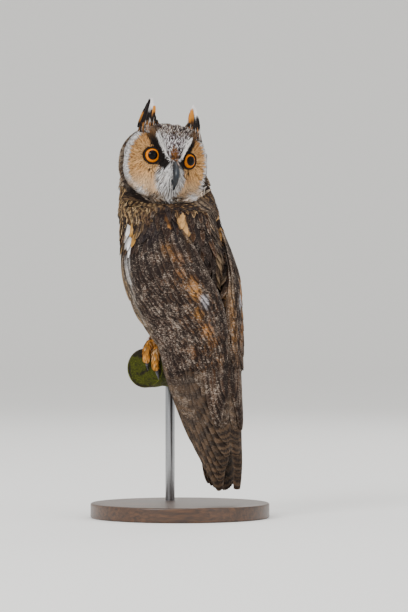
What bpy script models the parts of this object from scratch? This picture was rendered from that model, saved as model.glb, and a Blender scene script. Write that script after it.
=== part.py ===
"""A long-eared owl, life size, seen over its back with the head turned round, on a cut perch and a stand.

Metres, +Z up. The origin is the centre of the underside of the stand's base. Heights on the bird are
measured up from its tail tip. The body frame has a forward and a left axis; the head has its own frame.
"""

import math
import random

import bmesh
import bpy
from mathutils import Vector

GAP = 0.0003
FLAT_ANGLE = math.radians(4.0)
BASE_RADIUS = 0.085
BASE_THICK = 0.014
TAIL_CLEARANCE = 0.012
TAIL_TIP_Z = BASE_THICK + TAIL_CLEARANCE

BODY_TURN = math.radians(50)
FORWARD = Vector((-math.sin(BODY_TURN), math.cos(BODY_TURN), 0))
LEFT = Vector((-math.cos(BODY_TURN), -math.sin(BODY_TURN), 0))
UP = Vector((0, 0, 1))

# Feathered body with its folded wings: height, forward place, half depth, half width.
ENVELOPE = (
    (0.300, 0.021, 0.040, 0.044),
    (0.271, 0.016, 0.049, 0.055),
    (0.247, 0.011, 0.051, 0.057),
    (0.223, 0.005, 0.053, 0.059),
    (0.200, -0.001, 0.053, 0.059),
    (0.171, -0.009, 0.049, 0.055),
    (0.142, -0.019, 0.042, 0.049),
    (0.114, -0.026, 0.035, 0.044),
    (0.086, -0.035, 0.027, 0.038),
    (0.057, -0.045, 0.019, 0.033),
    (0.028, -0.053, 0.013, 0.027),
    (0.000, -0.056, 0.009, 0.021),
)
# Torso under the wings: height, front, back, half width.
TORSO = (
    (0.262, 0.064, -0.031, 0.049),
    (0.240, 0.063, -0.036, 0.050),
    (0.215, 0.057, -0.041, 0.050),
    (0.190, 0.048, -0.044, 0.048),
    (0.171, 0.036, -0.046, 0.045),
    (0.155, 0.022, -0.047, 0.040),
    (0.142, 0.008, -0.047, 0.034),
    (0.128, -0.006, -0.046, 0.027),
    (0.114, -0.018, -0.044, 0.019),
    (0.104, -0.026, -0.042, 0.010),
)
COLLAR_TOP = 0.262
MANTLE_RISE = 0.009
# Neck collar in the viewing frame: height, X, Y, half X, half Y.
NECK = (
    (0.2623, -0.0111, 0.0093, 0.0525, 0.0500),
    (0.2680, -0.0115, 0.0150, 0.0515, 0.0440),
    (0.2750, -0.0125, 0.0205, 0.0502, 0.0375),
    (0.2830, -0.0138, 0.0245, 0.0490, 0.0330),
    (0.2920, -0.0150, 0.0270, 0.0465, 0.0285),
    (0.3020, -0.0165, 0.0285, 0.0430, 0.0240),
    (0.3120, -0.0170, 0.0290, 0.0370, 0.0190),
    (0.3190, -0.0170, 0.0290, 0.0250, 0.0120),
)

HEAD_TURN = math.radians(25)
HEAD_ROLL = math.radians(7)
HEAD_CENTRE = Vector((-0.0177, 0.008, TAIL_TIP_Z + 0.3116))
FACE_HALF_WIDTH = 0.0425
FACE_TOP = 0.0370
FACE_BOTTOM = 0.0365
FACE_CENTRE_UP = -0.002
RIM_DEPTH = 0.012
SKULL_DEPTH = 0.050
EYE_RADIUS = 0.0095
EYE_SPREAD = 0.0182
EYE_FORWARD = 0.0150
EYE_UP = 0.0033
EYE_OUT_TURN = math.radians(12)
LOCK_LIFT = 0.0036
TUFT_SPREAD = 0.0250
TUFT_FORWARD = 0.0125
TUFT_UP = 0.0300
TUFT_LENGTH = 0.0290
# Sideways lean of the right and the left tuft, for each metre of rise.
TUFT_LEAN = {-1: -0.16, 1: -0.06}

PERCH_RADIUS = 0.019
PERCH_LENGTH = 0.098
PERCH_TURN = math.radians(25)
PERCH_HEIGHT = 0.116
PERCH_END = (0.0170, 0.0312)
ROD_RADIUS = 0.0045
ROD_PLACE = 0.055
SOCKET_DEPTH = 0.008
TOE_RADIUS = 0.0046
CLAW_RADIUS = 0.0021
# Where each foot stands on the perch: along from the near end, and degrees up from the right-hand side.
NEAR_FOOT = (0.0085, 68)
FAR_FOOT = (0.0525, 90)
# Toes that wrap round the perch: offset along from the foot, side, and how many degrees they reach.
NEAR_FLANK_TOES = ((0.0020, 1, 88), (0.0112, 1, 92))
FAR_FLANK_TOES = ((-0.0052, 1, 88), (0.0050, 1, 92), (-0.0056, -1, 84), (0.0054, -1, 90))
# Toes of the near foot that hook over the perch's end, and their claws: along, across and up from its axis.
END_TOES = (
    (
        (0.0110, 0.0135, 0.0200),
        (0.0035, 0.0140, 0.0196),
        (-0.0030, 0.0138, 0.0172),
        (-0.0053, 0.0135, 0.0110),
        (-0.0053, 0.0135, 0.0040),
        (-0.0047, 0.0140, -0.0015),
    ),
    (
        (0.0110, 0.0050, 0.0236),
        (0.0035, 0.0048, 0.0236),
        (-0.0030, 0.0046, 0.0212),
        (-0.0053, 0.0044, 0.0155),
        (-0.0053, 0.0042, 0.0100),
        (-0.0047, 0.0040, 0.0060),
    ),
)
END_CLAWS = (
    (
        (-0.0036, 0.0141, -0.0004),
        (-0.0034, 0.0147, -0.0046),
        (-0.0024, 0.0152, -0.0082),
        (-0.0010, 0.0152, -0.0108),
    ),
    (
        (-0.0036, 0.0040, 0.0071),
        (-0.0034, 0.0040, 0.0032),
        (-0.0024, 0.0042, 0.0000),
        (-0.0010, 0.0043, -0.0024),
    ),
)
# How far the tail swings to the bird's right over its full length.
TAIL_SWAY = 0.0075


def material(name, red, green, blue, roughness=0.8, metallic=0.0):
    found = bpy.data.materials.get(name)
    if found:
        return found
    made = bpy.data.materials.new(name)
    made.use_nodes = True
    shader = made.node_tree.nodes["Principled BSDF"]
    shader.inputs["Base Color"].default_value = (red, green, blue, 1)
    shader.inputs["Roughness"].default_value = roughness
    shader.inputs["Metallic"].default_value = metallic
    return made


def plumage():
    return material("plumage", 0.16, 0.11, 0.08)


def face_plumage():
    return material("face_plumage", 0.55, 0.34, 0.18)


def vane_feather():
    return material("vane_feather", 0.11, 0.08, 0.06)


def horn():
    return material("horn", 0.03, 0.035, 0.045, 0.35)


def eye_surface():
    return material("eye_surface", 0.85, 0.28, 0.01, 0.08)


def bark():
    return material("bark", 0.10, 0.10, 0.05, 0.9)


def stand_wood():
    return material("stand_wood", 0.12, 0.07, 0.04, 0.45)


def rod_steel():
    return material("rod_steel", 0.35, 0.35, 0.36, 0.3, 1.0)


def blend(low, high, value):
    """0 below low, 1 above high, and smooth between."""
    share = min(1.0, max(0.0, (value - low) / (high - low)))
    return share * share * (3 - 2 * share)


def hump(value, middle, width):
    return math.exp(-(((value - middle) / width) ** 2))


def at_height(rows, height):
    """The row's other numbers at a height, on a smooth curve through rows that run up or down."""
    ordered = sorted(rows)
    if height <= ordered[0][0]:
        return ordered[0][1:]
    if height >= ordered[-1][0]:
        return ordered[-1][1:]
    index = next(i for i in range(len(ordered) - 1) if ordered[i + 1][0] >= height)
    before = ordered[max(index - 1, 0)]
    low = ordered[index]
    high = ordered[index + 1]
    after = ordered[min(index + 2, len(ordered) - 1)]
    span = high[0] - low[0]
    share = (height - low[0]) / span
    values = []
    for column in range(1, len(low)):
        rise = high[column] - low[column]
        slope_low = rise
        slope_high = rise
        if low is not before:
            slope_low = (high[column] - before[column]) * span / (high[0] - before[0])
        if high is not after:
            slope_high = (after[column] - low[column]) * span / (after[0] - low[0])
        square = share * share
        cube = square * share
        values.append(
            low[column] * (2 * cube - 3 * square + 1)
            + high[column] * (3 * square - 2 * cube)
            + slope_low * (cube - 2 * square + share)
            + slope_high * (cube - square)
        )
    return values


def body_point(forward, left, height):
    return FORWARD * forward + LEFT * left + UP * (TAIL_TIP_Z + height)


def envelope_point(angle, height, lift, side=1):
    """A point on the outer plumage: angle round from the breast, and a lift outwards from it."""
    middle, depth, width = at_height(ENVELOPE, height)
    forward = middle + (depth + lift) * math.cos(angle)
    left = (width + lift) * math.sin(angle)
    return body_point(forward, side * max(left, GAP), height)


def head_axes():
    """The head's forward, side and up directions; the side axis points to the right in view."""
    forward = Vector((math.sin(HEAD_TURN), -math.cos(HEAD_TURN), 0))
    level_side = Vector((math.cos(HEAD_TURN), math.sin(HEAD_TURN), 0))
    side = level_side * math.cos(HEAD_ROLL) - UP * math.sin(HEAD_ROLL)
    up = UP * math.cos(HEAD_ROLL) + level_side * math.sin(HEAD_ROLL)
    return forward, side, up


HEAD_FORWARD, HEAD_SIDE, HEAD_UP = head_axes()


def head_point(forward, side, up):
    return HEAD_CENTRE + HEAD_FORWARD * forward + HEAD_SIDE * side + HEAD_UP * up


def make_object(name, points, faces, surface):
    """A closed mesh object with its faces turned outwards."""
    mesh = bpy.data.meshes.new(name)
    mesh.from_pydata([tuple(point) for point in points], [], faces)
    made = bpy.data.objects.new(name, mesh)
    bpy.context.scene.collection.objects.link(made)
    work = bmesh.new()
    work.from_mesh(mesh)
    bmesh.ops.triangulate(work, faces=[face for face in work.faces if len(face.verts) > 4])
    bmesh.ops.recalc_face_normals(work, faces=work.faces)
    work.to_mesh(mesh)
    work.free()
    mesh.materials.append(surface)
    return made


def loft(name, rings, surface):
    """Joins rings of as many points each into a closed body with flat ends."""
    count = len(rings[0])
    points = [point for ring in rings for point in ring]
    faces = []
    for row in range(len(rings) - 1):
        for column in range(count):
            following = (column + 1) % count
            a = row * count + column
            b = row * count + following
            faces.append((a, b, b + count))
            faces.append((a, b + count, a + count))
    faces.append(tuple(range(count)))
    last = (len(rings) - 1) * count
    faces.append(tuple(last + column for column in range(count)))
    return make_object(name, points, faces, surface)


def plate(name, outer, inner, surface):
    """A thin closed body between two grids of points, split into triangles alike on both faces."""
    rows = len(outer)
    columns = len(outer[0])
    points = [point for row in outer for point in row] + [point for row in inner for point in row]
    below = rows * columns
    faces = []
    for row in range(rows - 1):
        for column in range(columns - 1):
            a = row * columns + column
            b = a + 1
            c = a + columns
            d = c + 1
            faces += [(a, b, d), (a, d, c)]
            faces += [(below + a, below + d, below + b), (below + a, below + c, below + d)]
    border = [column for column in range(columns)]
    border += [row * columns + columns - 1 for row in range(1, rows)]
    border += [(rows - 1) * columns + column for column in range(columns - 2, -1, -1)]
    border += [row * columns for row in range(rows - 2, 0, -1)]
    for index, a in enumerate(border):
        b = border[(index + 1) % len(border)]
        faces += [(a, below + b, b), (a, below + a, below + b)]
    return make_object(name, points, faces, surface)


def bake(item):
    """Applies an object's modifiers to its own mesh."""
    view = bpy.context.evaluated_depsgraph_get()
    mesh = bpy.data.meshes.new_from_object(item.evaluated_get(view))
    item.modifiers.clear()
    item.data = mesh


def keep_largest(item, flat):
    """Keeps the closed surface that holds the most volume."""
    work = bmesh.new()
    work.from_mesh(item.data)
    bmesh.ops.triangulate(work, faces=work.faces)
    left_over = set(work.faces)
    bodies = []
    while left_over:
        body = [left_over.pop()]
        for face in body:
            for edge in face.edges:
                for other in edge.link_faces:
                    if other in left_over:
                        left_over.discard(other)
                        body.append(other)
        bodies.append(body)

    def volume(body):
        total = 0
        for face in body:
            a, b, c = (corner.co for corner in face.verts)
            total += a.dot(b.cross(c))
        return abs(total)

    bodies.sort(key=volume)
    loose = [face for body in bodies[:-1] for face in body]
    bmesh.ops.delete(work, geom=loose, context="FACES")
    bmesh.ops.dissolve_limit(work, angle_limit=flat, verts=work.verts, edges=work.edges)
    bmesh.ops.triangulate(work, faces=work.faces)
    work.to_mesh(item.data)
    work.free()


def combine(item, others, operation, solver="EXACT", flat=FLAT_ANGLE):
    """Joins other closed objects to item, or cuts them from it, and removes them."""
    if not others:
        return item
    group = bpy.data.collections.new(item.name + "_pieces")
    for other in others:
        group.objects.link(other)
    step = item.modifiers.new("combine", "BOOLEAN")
    step.operation = operation
    step.operand_type = "COLLECTION"
    step.collection = group
    step.solver = solver
    bake(item)
    for other in others:
        bpy.data.objects.remove(other)
    bpy.data.collections.remove(group)
    keep_largest(item, flat)
    return item


def swollen(item, distance):
    """A copy of a body whose surface is moved outwards, to cut its place out of a neighbour."""
    copy = bpy.data.objects.new(item.name + "_clearance", item.data.copy())
    bpy.context.scene.collection.objects.link(copy)
    work = bmesh.new()
    work.from_mesh(copy.data)
    work.normal_update()
    moved = [point.co + point.normal * distance * point.calc_shell_factor() for point in work.verts]
    for point, place in zip(work.verts, moved, strict=True):
        point.co = place
    work.to_mesh(copy.data)
    work.free()
    return copy


def ball(name, centre, radius, surface, columns=24, rows=14):
    work = bmesh.new()
    bmesh.ops.create_uvsphere(work, u_segments=columns, v_segments=rows, radius=radius)
    bmesh.ops.translate(work, verts=work.verts, vec=centre)
    mesh = bpy.data.meshes.new(name)
    work.to_mesh(mesh)
    work.free()
    mesh.materials.append(surface)
    made = bpy.data.objects.new(name, mesh)
    bpy.context.scene.collection.objects.link(made)
    return made


def sweep(name, centres, radii, surface, sides, reference):
    """A tapered round body along a line of centres."""
    rings = []
    for index, centre in enumerate(centres):
        before = centres[max(index - 1, 0)]
        after = centres[min(index + 1, len(centres) - 1)]
        along = (after - before).normalized()
        across = along.cross(reference)
        if across.length < 0.05:
            across = along.cross(FORWARD)
        across.normalize()
        other = along.cross(across).normalized()
        ring = []
        for side in range(sides):
            angle = 2 * math.pi * side / sides
            turned = across * math.cos(angle) + other * math.sin(angle)
            ring.append(centre + turned * radii[index])
        rings.append(ring)
    return loft(name, rings, surface)


def torso_point(angle, height, lift=0.0):
    """A point on the torso; between the wings its back rises to the outer plumage."""
    front, back, width = at_height(TORSO, height)
    middle = (front + back) / 2
    depth = (front - back) / 2
    spine = abs(math.degrees(angle) - 180)
    mantle = MANTLE_RISE * hump(spine, 0, 26) * blend(0.185, 0.225, height)
    reach = lift + mantle
    forward = middle + (depth + reach) * math.cos(angle)
    return body_point(forward, (width + reach) * math.sin(angle), height)


def build_torso():
    sides = 26
    heights = [0.104, 0.110, 0.118, 0.128, 0.140, 0.154, 0.170, 0.188, 0.206, 0.224, 0.243, COLLAR_TOP]
    rings = [
        [torso_point(2 * math.pi * side / sides, height) for side in range(sides)] for height in heights
    ]
    return loft("torso", rings, plumage())


def build_neck():
    """A thick collar of plumage that the turned head sinks into."""
    sides = 24
    rings = []
    for height, x, y, half_x, half_y in NECK:
        ring = []
        for side in range(sides):
            angle = 2 * math.pi * side / sides
            ring.append(
                Vector((x + half_x * math.cos(angle), y + half_y * math.sin(angle), TAIL_TIP_Z + height))
            )
        rings.append(ring)
    neck = loft("neck", rings, plumage())
    return combine(neck, [build_skull("skull_clearance", 2 * GAP, LOCK_LIFT)], "DIFFERENCE")


def face_rim(angle):
    """How far the disc's rim lies from the face's middle, towards an angle round the face."""
    reach_up = FACE_TOP if math.sin(angle) > 0 else FACE_BOTTOM
    side = abs(math.cos(angle)) / FACE_HALF_WIDTH
    rise = abs(math.sin(angle)) / reach_up
    return (side**2.3 + rise**2.3) ** (-1 / 2.3)


def face_depth(side, up):
    """How far forward the face lies: a curved disc, a ridge down to the bill, brows and dished cheeks."""
    across = abs(side)
    curve = RIM_DEPTH + 0.0125 * (1 - (across / FACE_HALF_WIDTH) ** 2) - 0.004 * (up / 0.036) ** 2
    dish = -0.0035 * hump(across, 0.0310, 0.0075) * hump(up, 0, 0.024)
    ridge = 0.0105 * hump(across, 0, 0.0085) * hump(up, -0.012, 0.020)
    brow_line = 0.005 + max(up + 0.004, 0) * 0.50
    brow = 0.0034 * hump(across, brow_line, 0.0042)
    brow *= blend(-0.012, 0.004, up) * (1 - blend(0.026, 0.036, up))
    forehead = 0.0022 * hump(across, 0, 0.004 + max(up, 0) * 0.35) * blend(0.0, 0.012, up)
    return curve + dish + ridge + brow + forehead


def head_surface(angle, along, lift=0.0):
    """The head round the face's axis: along runs 0 at the face's middle, 1 on the rim, 2 at the nape."""
    reach = face_rim(angle)
    side = math.cos(angle)
    up = math.sin(angle)
    if along <= 1:
        rim_lip = 0.0016 * hump(along, 0.97, 0.06)
        place_side = side * reach * along
        place_up = FACE_CENTRE_UP + up * reach * along
        forward = face_depth(place_side, place_up) + rim_lip + lift
        return head_point(forward, place_side, place_up)
    turn = (along - 1) * math.pi / 2
    swell = 1 + 0.07 * math.sin(2 * turn)
    radius = reach * swell * math.cos(turn) ** 0.85 + lift * math.cos(turn)
    rim_forward = face_depth(side * reach, FACE_CENTRE_UP + up * reach)
    forward = rim_forward - (SKULL_DEPTH + rim_forward - RIM_DEPTH) * math.sin(turn) - lift * math.sin(turn)
    return head_point(forward, side * radius, FACE_CENTRE_UP * math.cos(turn) + up * radius)


def build_skull(name, lift=0.0, ruff_lift=0.0):
    """The head without its locks, or its swollen form, wider still at the ruff, to cut neighbours by."""
    sides = 32
    steps = [0.10, 0.22, 0.34, 0.46, 0.58, 0.70, 0.82, 0.92, 1.0, 1.14, 1.34, 1.58, 1.80, 1.93]
    rings = []
    for step in steps:
        raised = lift + ruff_lift * hump(step, 1.03, 0.26)
        ring = []
        for place in range(sides):
            ring.append(head_surface(2 * math.pi * (place + 0.5) / sides, step, raised))
        rings.append(ring)
    return loft(name, rings, face_plumage())


def eye_centre(side):
    return head_point(EYE_FORWARD, side * EYE_SPREAD, EYE_UP)


def eye_gaze(side):
    return HEAD_FORWARD * math.cos(EYE_OUT_TURN) + HEAD_SIDE * side * math.sin(EYE_OUT_TURN)


def lid_ring(side):
    """The bare rim of both lids, thicker above, set on the ball of the eye."""
    gaze = eye_gaze(side)
    across = gaze.cross(HEAD_UP).normalized()
    above = across.cross(gaze).normalized()
    ring_steps = 16
    tube_steps = 5
    lid_radius = 0.0080
    points = []
    for step in range(ring_steps):
        turn = 2 * math.pi * step / ring_steps
        outward = across * math.cos(turn) + above * math.sin(turn)
        thick = 0.0013 + 0.0006 * max(math.sin(turn), 0)
        centre = eye_centre(side) + gaze * 0.0062 + outward * lid_radius
        for tube in range(tube_steps):
            spin = 2 * math.pi * tube / tube_steps
            points.append(centre + outward * thick * math.cos(spin) + gaze * thick * math.sin(spin))
    faces = []
    for step in range(ring_steps):
        for tube in range(tube_steps):
            a = step * tube_steps + tube
            b = step * tube_steps + (tube + 1) % tube_steps
            c = ((step + 1) % ring_steps) * tube_steps + tube
            d = ((step + 1) % ring_steps) * tube_steps + (tube + 1) % tube_steps
            faces.append((a, b, d, c))
    return make_object("lid", points, faces, horn())


def bill_half(name, upper):
    """The hooked upper or the smaller lower half of the bill, with a cere at its root."""
    rows = (
        # share along, forward, up, half width, half height
        (0.00, 0.0240, 0.0000, 0.0032, 0.0040),
        (0.15, 0.0305, -0.0035, 0.0034, 0.0043),
        (0.35, 0.0355, -0.0090, 0.0036, 0.0045),
        (0.55, 0.0380, -0.0142, 0.0034, 0.0042),
        (0.75, 0.0376, -0.0200, 0.0026, 0.0031),
        (0.90, 0.0358, -0.0250, 0.0013, 0.0016),
        (1.00, 0.0338, -0.0287, 0.0004, 0.0005),
    )
    if not upper:
        rows = (
            (0.00, 0.0225, -0.0120, 0.0026, 0.0018),
            (0.35, 0.0288, -0.0160, 0.0026, 0.0018),
            (0.70, 0.0318, -0.0198, 0.0020, 0.0014),
            (1.00, 0.0330, -0.0232, 0.0008, 0.0006),
        )
    centres = [head_point(row[1], 0, row[2]) for row in rows]
    rings = []
    sides = 12
    for index, row in enumerate(rows):
        before = centres[max(index - 1, 0)]
        after = centres[min(index + 1, len(centres) - 1)]
        along = (after - before).normalized()
        outer = HEAD_SIDE.cross(along).normalized()
        ring = []
        for side in range(sides):
            angle = 2 * math.pi * side / sides
            ring.append(
                centres[index]
                + HEAD_SIDE * row[3] * math.cos(angle)
                + outer * row[4] * math.sin(angle)
            )
        rings.append(ring)
    return loft(name, rings, horn())


def build_bill():
    upper = bill_half("bill_upper", True)
    lower = bill_half("bill_lower", False)
    nostrils = [
        ball("nostril", head_point(0.0350, side * 0.0035, -0.0085), 0.0009, horn(), 8, 6)
        for side in (-1, 1)
    ]
    combine(upper, nostrils, "DIFFERENCE")
    combine(lower, [swollen(upper, GAP)], "DIFFERENCE")
    return upper, lower


def build_eye(name, side):
    """The ball of the eye, with its cornea forward."""
    return ball(name, eye_centre(side), EYE_RADIUS, eye_surface(), 16, 11)


def build_head(eyes, bills):
    head = build_skull("head")
    combine(head, [lid_ring(-1), lid_ring(1), *face_locks()], "UNION")
    cutters = [swollen(item, GAP) for item in (*eyes, *bills)]
    return combine(head, cutters, "DIFFERENCE")


def perch_axis():
    """The perch's direction, towards its near end."""
    return Vector((-math.sin(PERCH_TURN), -math.cos(PERCH_TURN), 0))


def perch_point(along, angle, radius):
    """A point round the perch: along from its near end, angle up from its right-hand side in view."""
    across = perch_axis().cross(UP) * -1
    end = body_point(PERCH_END[0], PERCH_END[1], PERCH_HEIGHT)
    return end - perch_axis() * along + (across * math.cos(angle) + UP * math.sin(angle)) * radius


def perch_place(place):
    """A point by its place along the perch, across it to the right in view, and up from its axis."""
    along, across, up = place
    return perch_point(along, 0, across) + UP * up


def build_perch():
    """A cut length of mossy branch, smooth where the feet grip it, with a socket for the rod."""
    draw = random.Random(7)
    sides = 18
    stations = 7
    rings = []
    for station in range(stations + 1):
        along = PERCH_LENGTH * station / stations
        grip = max(hump(along, place, 0.012) for place, _ in (NEAR_FOOT, FAR_FOOT))
        ring = []
        for side in range(sides):
            angle = 2 * math.pi * side / sides
            worn = 0.0016 * (1 - grip) * draw.random()
            edge = 0.0022 * (hump(along, 0, 0.003) + hump(along, PERCH_LENGTH, 0.003))
            ring.append(perch_point(along, angle, PERCH_RADIUS - worn - edge))
        rings.append(ring)
    return loft("perch", rings, bark())


def rod_foot():
    middle = perch_point(ROD_PLACE, 0, 0)
    return Vector((middle.x, middle.y, 0))


def rod_body(name, radius, low, high):
    work = bmesh.new()
    bmesh.ops.create_cone(
        work, cap_ends=True, segments=16, radius1=radius, radius2=radius, depth=high - low
    )
    bmesh.ops.translate(work, verts=work.verts, vec=rod_foot() + UP * (low + high) / 2)
    mesh = bpy.data.meshes.new(name)
    work.to_mesh(mesh)
    work.free()
    mesh.materials.append(rod_steel())
    made = bpy.data.objects.new(name, mesh)
    bpy.context.scene.collection.objects.link(made)
    return made


def build_stand(perch):
    """A round wooden base with eased edges and one steel rod up into the perch."""
    rod_low = BASE_THICK - SOCKET_DEPTH
    rod_high = TAIL_TIP_Z + PERCH_HEIGHT - PERCH_RADIUS + SOCKET_DEPTH
    rod_body("stand_rod", ROD_RADIUS, rod_low + GAP, rod_high - GAP)
    ease = 0.002
    profile = (
        (0.0, BASE_RADIUS - ease),
        (ease, BASE_RADIUS),
        (BASE_THICK - ease, BASE_RADIUS),
        (BASE_THICK, BASE_RADIUS - ease),
    )
    sides = 36
    rings = []
    for height, radius in profile:
        ring = []
        for step in range(sides):
            angle = 2 * math.pi * step / sides
            ring.append(Vector((radius * math.cos(angle), radius * math.sin(angle), height)))
        rings.append(ring)
    base = loft("stand_base", rings, stand_wood())
    combine(base, [rod_body("rod_hole", ROD_RADIUS + GAP, rod_low, rod_high)], "DIFFERENCE")
    combine(perch, [rod_body("rod_hole", ROD_RADIUS + GAP, rod_low, rod_high)], "DIFFERENCE")


def toe_body(name, centres, reference):
    """One feathered toe along a line of centres."""
    last = len(centres) - 1
    radii = [TOE_RADIUS * (1.05 - 0.28 * step / last) for step in range(last + 1)]
    return sweep(name, centres, radii, face_plumage(), 7, reference)


def flank_toe(name, along, turn, reach):
    """A toe that wraps round the perch, from its top down one side."""
    steps = 5
    centres = []
    for step in range(steps + 1):
        share = step / steps
        angle = math.pi / 2 - turn * math.radians(-6 + reach * share)
        radius = TOE_RADIUS * (1.05 - 0.28 * share)
        centres.append(perch_point(along, angle, PERCH_RADIUS + 1.3 * GAP + radius))
    return toe_body(name, centres, perch_axis())


def flank_claw(name, along, turn, reach):
    """A curved claw that carries on round the perch from the end of a toe."""
    steps = 5
    centres = []
    radii = []
    for step in range(steps + 1):
        share = step / steps
        angle = math.pi / 2 - turn * math.radians(reach - 5 + 34 * share)
        radius = CLAW_RADIUS * (1 - 0.86 * share)
        centres.append(perch_point(along, angle, PERCH_RADIUS + 1.3 * GAP + radius + 0.0012 * (1 - share)))
        radii.append(radius)
    return sweep(name, centres, radii, horn(), 7, perch_axis())


def end_claw(name, places):
    """A curved claw down the perch's end face."""
    centres = [perch_place(place) for place in places]
    last = len(places) - 1
    radii = [CLAW_RADIUS * (1 - 0.86 * step / last) for step in range(last + 1)]
    return sweep(name, centres, radii, horn(), 7, perch_axis().cross(UP))


def build_leg(name, side, stance, torso):
    """A feathered shank from the belly down to the top of the perch."""
    top = body_point(0.0165 if side > 0 else 0.022, side * 0.0165, 0.168)
    foot = perch_point(stance[0], math.radians(stance[1]), PERCH_RADIUS + 0.0125)
    centres = [top.lerp(foot, share) for share in (0, 0.25, 0.5, 0.75, 1.0)]
    leg = sweep(name, centres, [0.0125, 0.0118, 0.0100, 0.0082, 0.0074], face_plumage(), 14, UP)
    return combine(leg, [swollen(torso, 1.3 * GAP)], "DIFFERENCE", flat=FLAT_ANGLE / 4)


def build_foot(name, side_name, stance, flank_toes, end_toes, leg, perch):
    """Four toes joined under the shank, round the perch or over its end, each with its own claw."""
    along, turned = stance
    palm_place = perch_point(along, math.radians(turned), PERCH_RADIUS + 0.0050)
    palm = ball(name, palm_place, 0.0078, face_plumage(), 10, 7)
    toes = []
    claws = []
    for offset, turn, reach in flank_toes:
        toes.append(flank_toe("toe", along + offset, turn, reach))
        claws.append(flank_claw(f"claw_{side_name}_{len(claws) + 1}", along + offset, turn, reach))
    for toe_places, claw_places in end_toes:
        toes.append(toe_body("toe", [perch_place(place) for place in toe_places], perch_axis().cross(UP)))
        claws.append(end_claw(f"claw_{side_name}_{len(claws) + 1}", claw_places))
    combine(palm, [swollen(perch, GAP)], "DIFFERENCE")
    combine(palm, toes, "UNION")
    combine(palm, [swollen(item, GAP) for item in (leg, *claws)], "DIFFERENCE")
    return palm


WING_LEAD = (
    (0.262, 52),
    (0.235, 48),
    (0.200, 52),
    (0.172, 58),
    (0.155, 73),
    (0.140, 85),
    (0.125, 85),
    (0.100, 80),
    (0.050, 88),
    (0.005, 100),
)
WING_BACK = ((0.262, 138), (0.235, 150), (0.200, 164), (0.170, 178), (0.005, 178))
WING_CORE_LOW = 0.105
VANE_SHAPE = ((0.0, 0.55), (0.38, 0.94), (0.76, 0.98), (0.94, 0.62), (1.0, 0.16))
COVERT_SHAPE = ((0.0, 0.60), (0.55, 0.98), (0.90, 0.66), (1.0, 0.14))
LOCK_SHAPE = ((0.0, 0.75), (0.55, 0.90), (1.0, 0.10))


def vane(surface, start, finish, half_width, lifts, thick, look, tilt=0.0, shape=VANE_SHAPE):
    """One feather on a surface: from start to finish in its coordinates, lifted off it root to tip.

    tilt raises the edge on the side of the lower first coordinate, as overlapping feathers lie.
    """
    outer = []
    inner = []
    step = 0.01
    for share, wide in shape:
        u = start[0] + (finish[0] - start[0]) * share
        v = start[1] + (finish[1] - start[1]) * share
        scale = (surface(u + step, v, 0) - surface(u - step, v, 0)).length / (2 * step)
        half = half_width * wide / max(scale, 1e-4)
        lift = lifts[0] + (lifts[1] - lifts[0]) * (share * (2 - share))
        line_outer = []
        line_inner = []
        for across in (-1, 1):
            middle = lift - tilt * across * wide
            body = thick / 2 * (1 - 0.45 * share)
            line_outer.append(surface(u + half * across, v, middle + body))
            line_inner.append(surface(u + half * across, v, middle - body))
        outer.append(line_outer)
        inner.append(line_inner)
    return plate("vane", outer, inner, look)


def wing_angle(share, height):
    """The angle round the body at a share of the way from the wing's leading edge to its back edge."""
    lead = at_height(WING_LEAD, height)[0]
    back = at_height(WING_BACK, height)[0]
    return math.radians(lead + (back - lead) * min(max(share, -0.06), 1.0))


def wing_surface(side):
    def point(share, height, lift):
        return envelope_point(wing_angle(share, height), height, lift, side)

    return point


def fold_surface(side):
    """The flatter sheet that the long flight feathers lie in, from the leading edge to the back edge."""

    def point(share, height, lift):
        lead = envelope_point(wing_angle(0, height), height, 0, side)
        middle = envelope_point(wing_angle(0.5, height), height, 0, side)
        back = envelope_point(wing_angle(1, height), height, 0, side)
        crown = middle - (lead + back) / 2
        place = min(max(share, -0.06), 0.92)
        bulge = 4 * place * (1 - place) * (0.50 + 0.50 * blend(0.03, 0.11, height))
        return lead.lerp(back, place) + crown * bulge + crown.normalized() * lift

    return point


def wing_core(name, side):
    """The fleshy arm and the small feathers over it: thick at the shoulder, thin where the vanes emerge."""
    columns = 6
    rows = 7
    outer = []
    inner = []
    for row in range(rows + 1):
        height = COLLAR_TOP + (WING_CORE_LOW - COLLAR_TOP) * row / rows
        line_outer = []
        line_inner = []
        for column in range(columns + 1):
            share = column / columns
            angle = wing_angle(share, height)
            high = -0.0045 + 0.0037 * blend(0.190, 0.222, height) - 0.0015 * hump(share, 0, 0.08)
            low = -0.0065 - 0.0045 * blend(0.105, 0.17, height)
            line_outer.append(envelope_point(angle, height, high, side))
            line_inner.append(envelope_point(angle, height, low, side))
        outer.append(line_outer)
        inner.append(line_inner)
    return plate(name, outer, inner, vane_feather())


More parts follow.
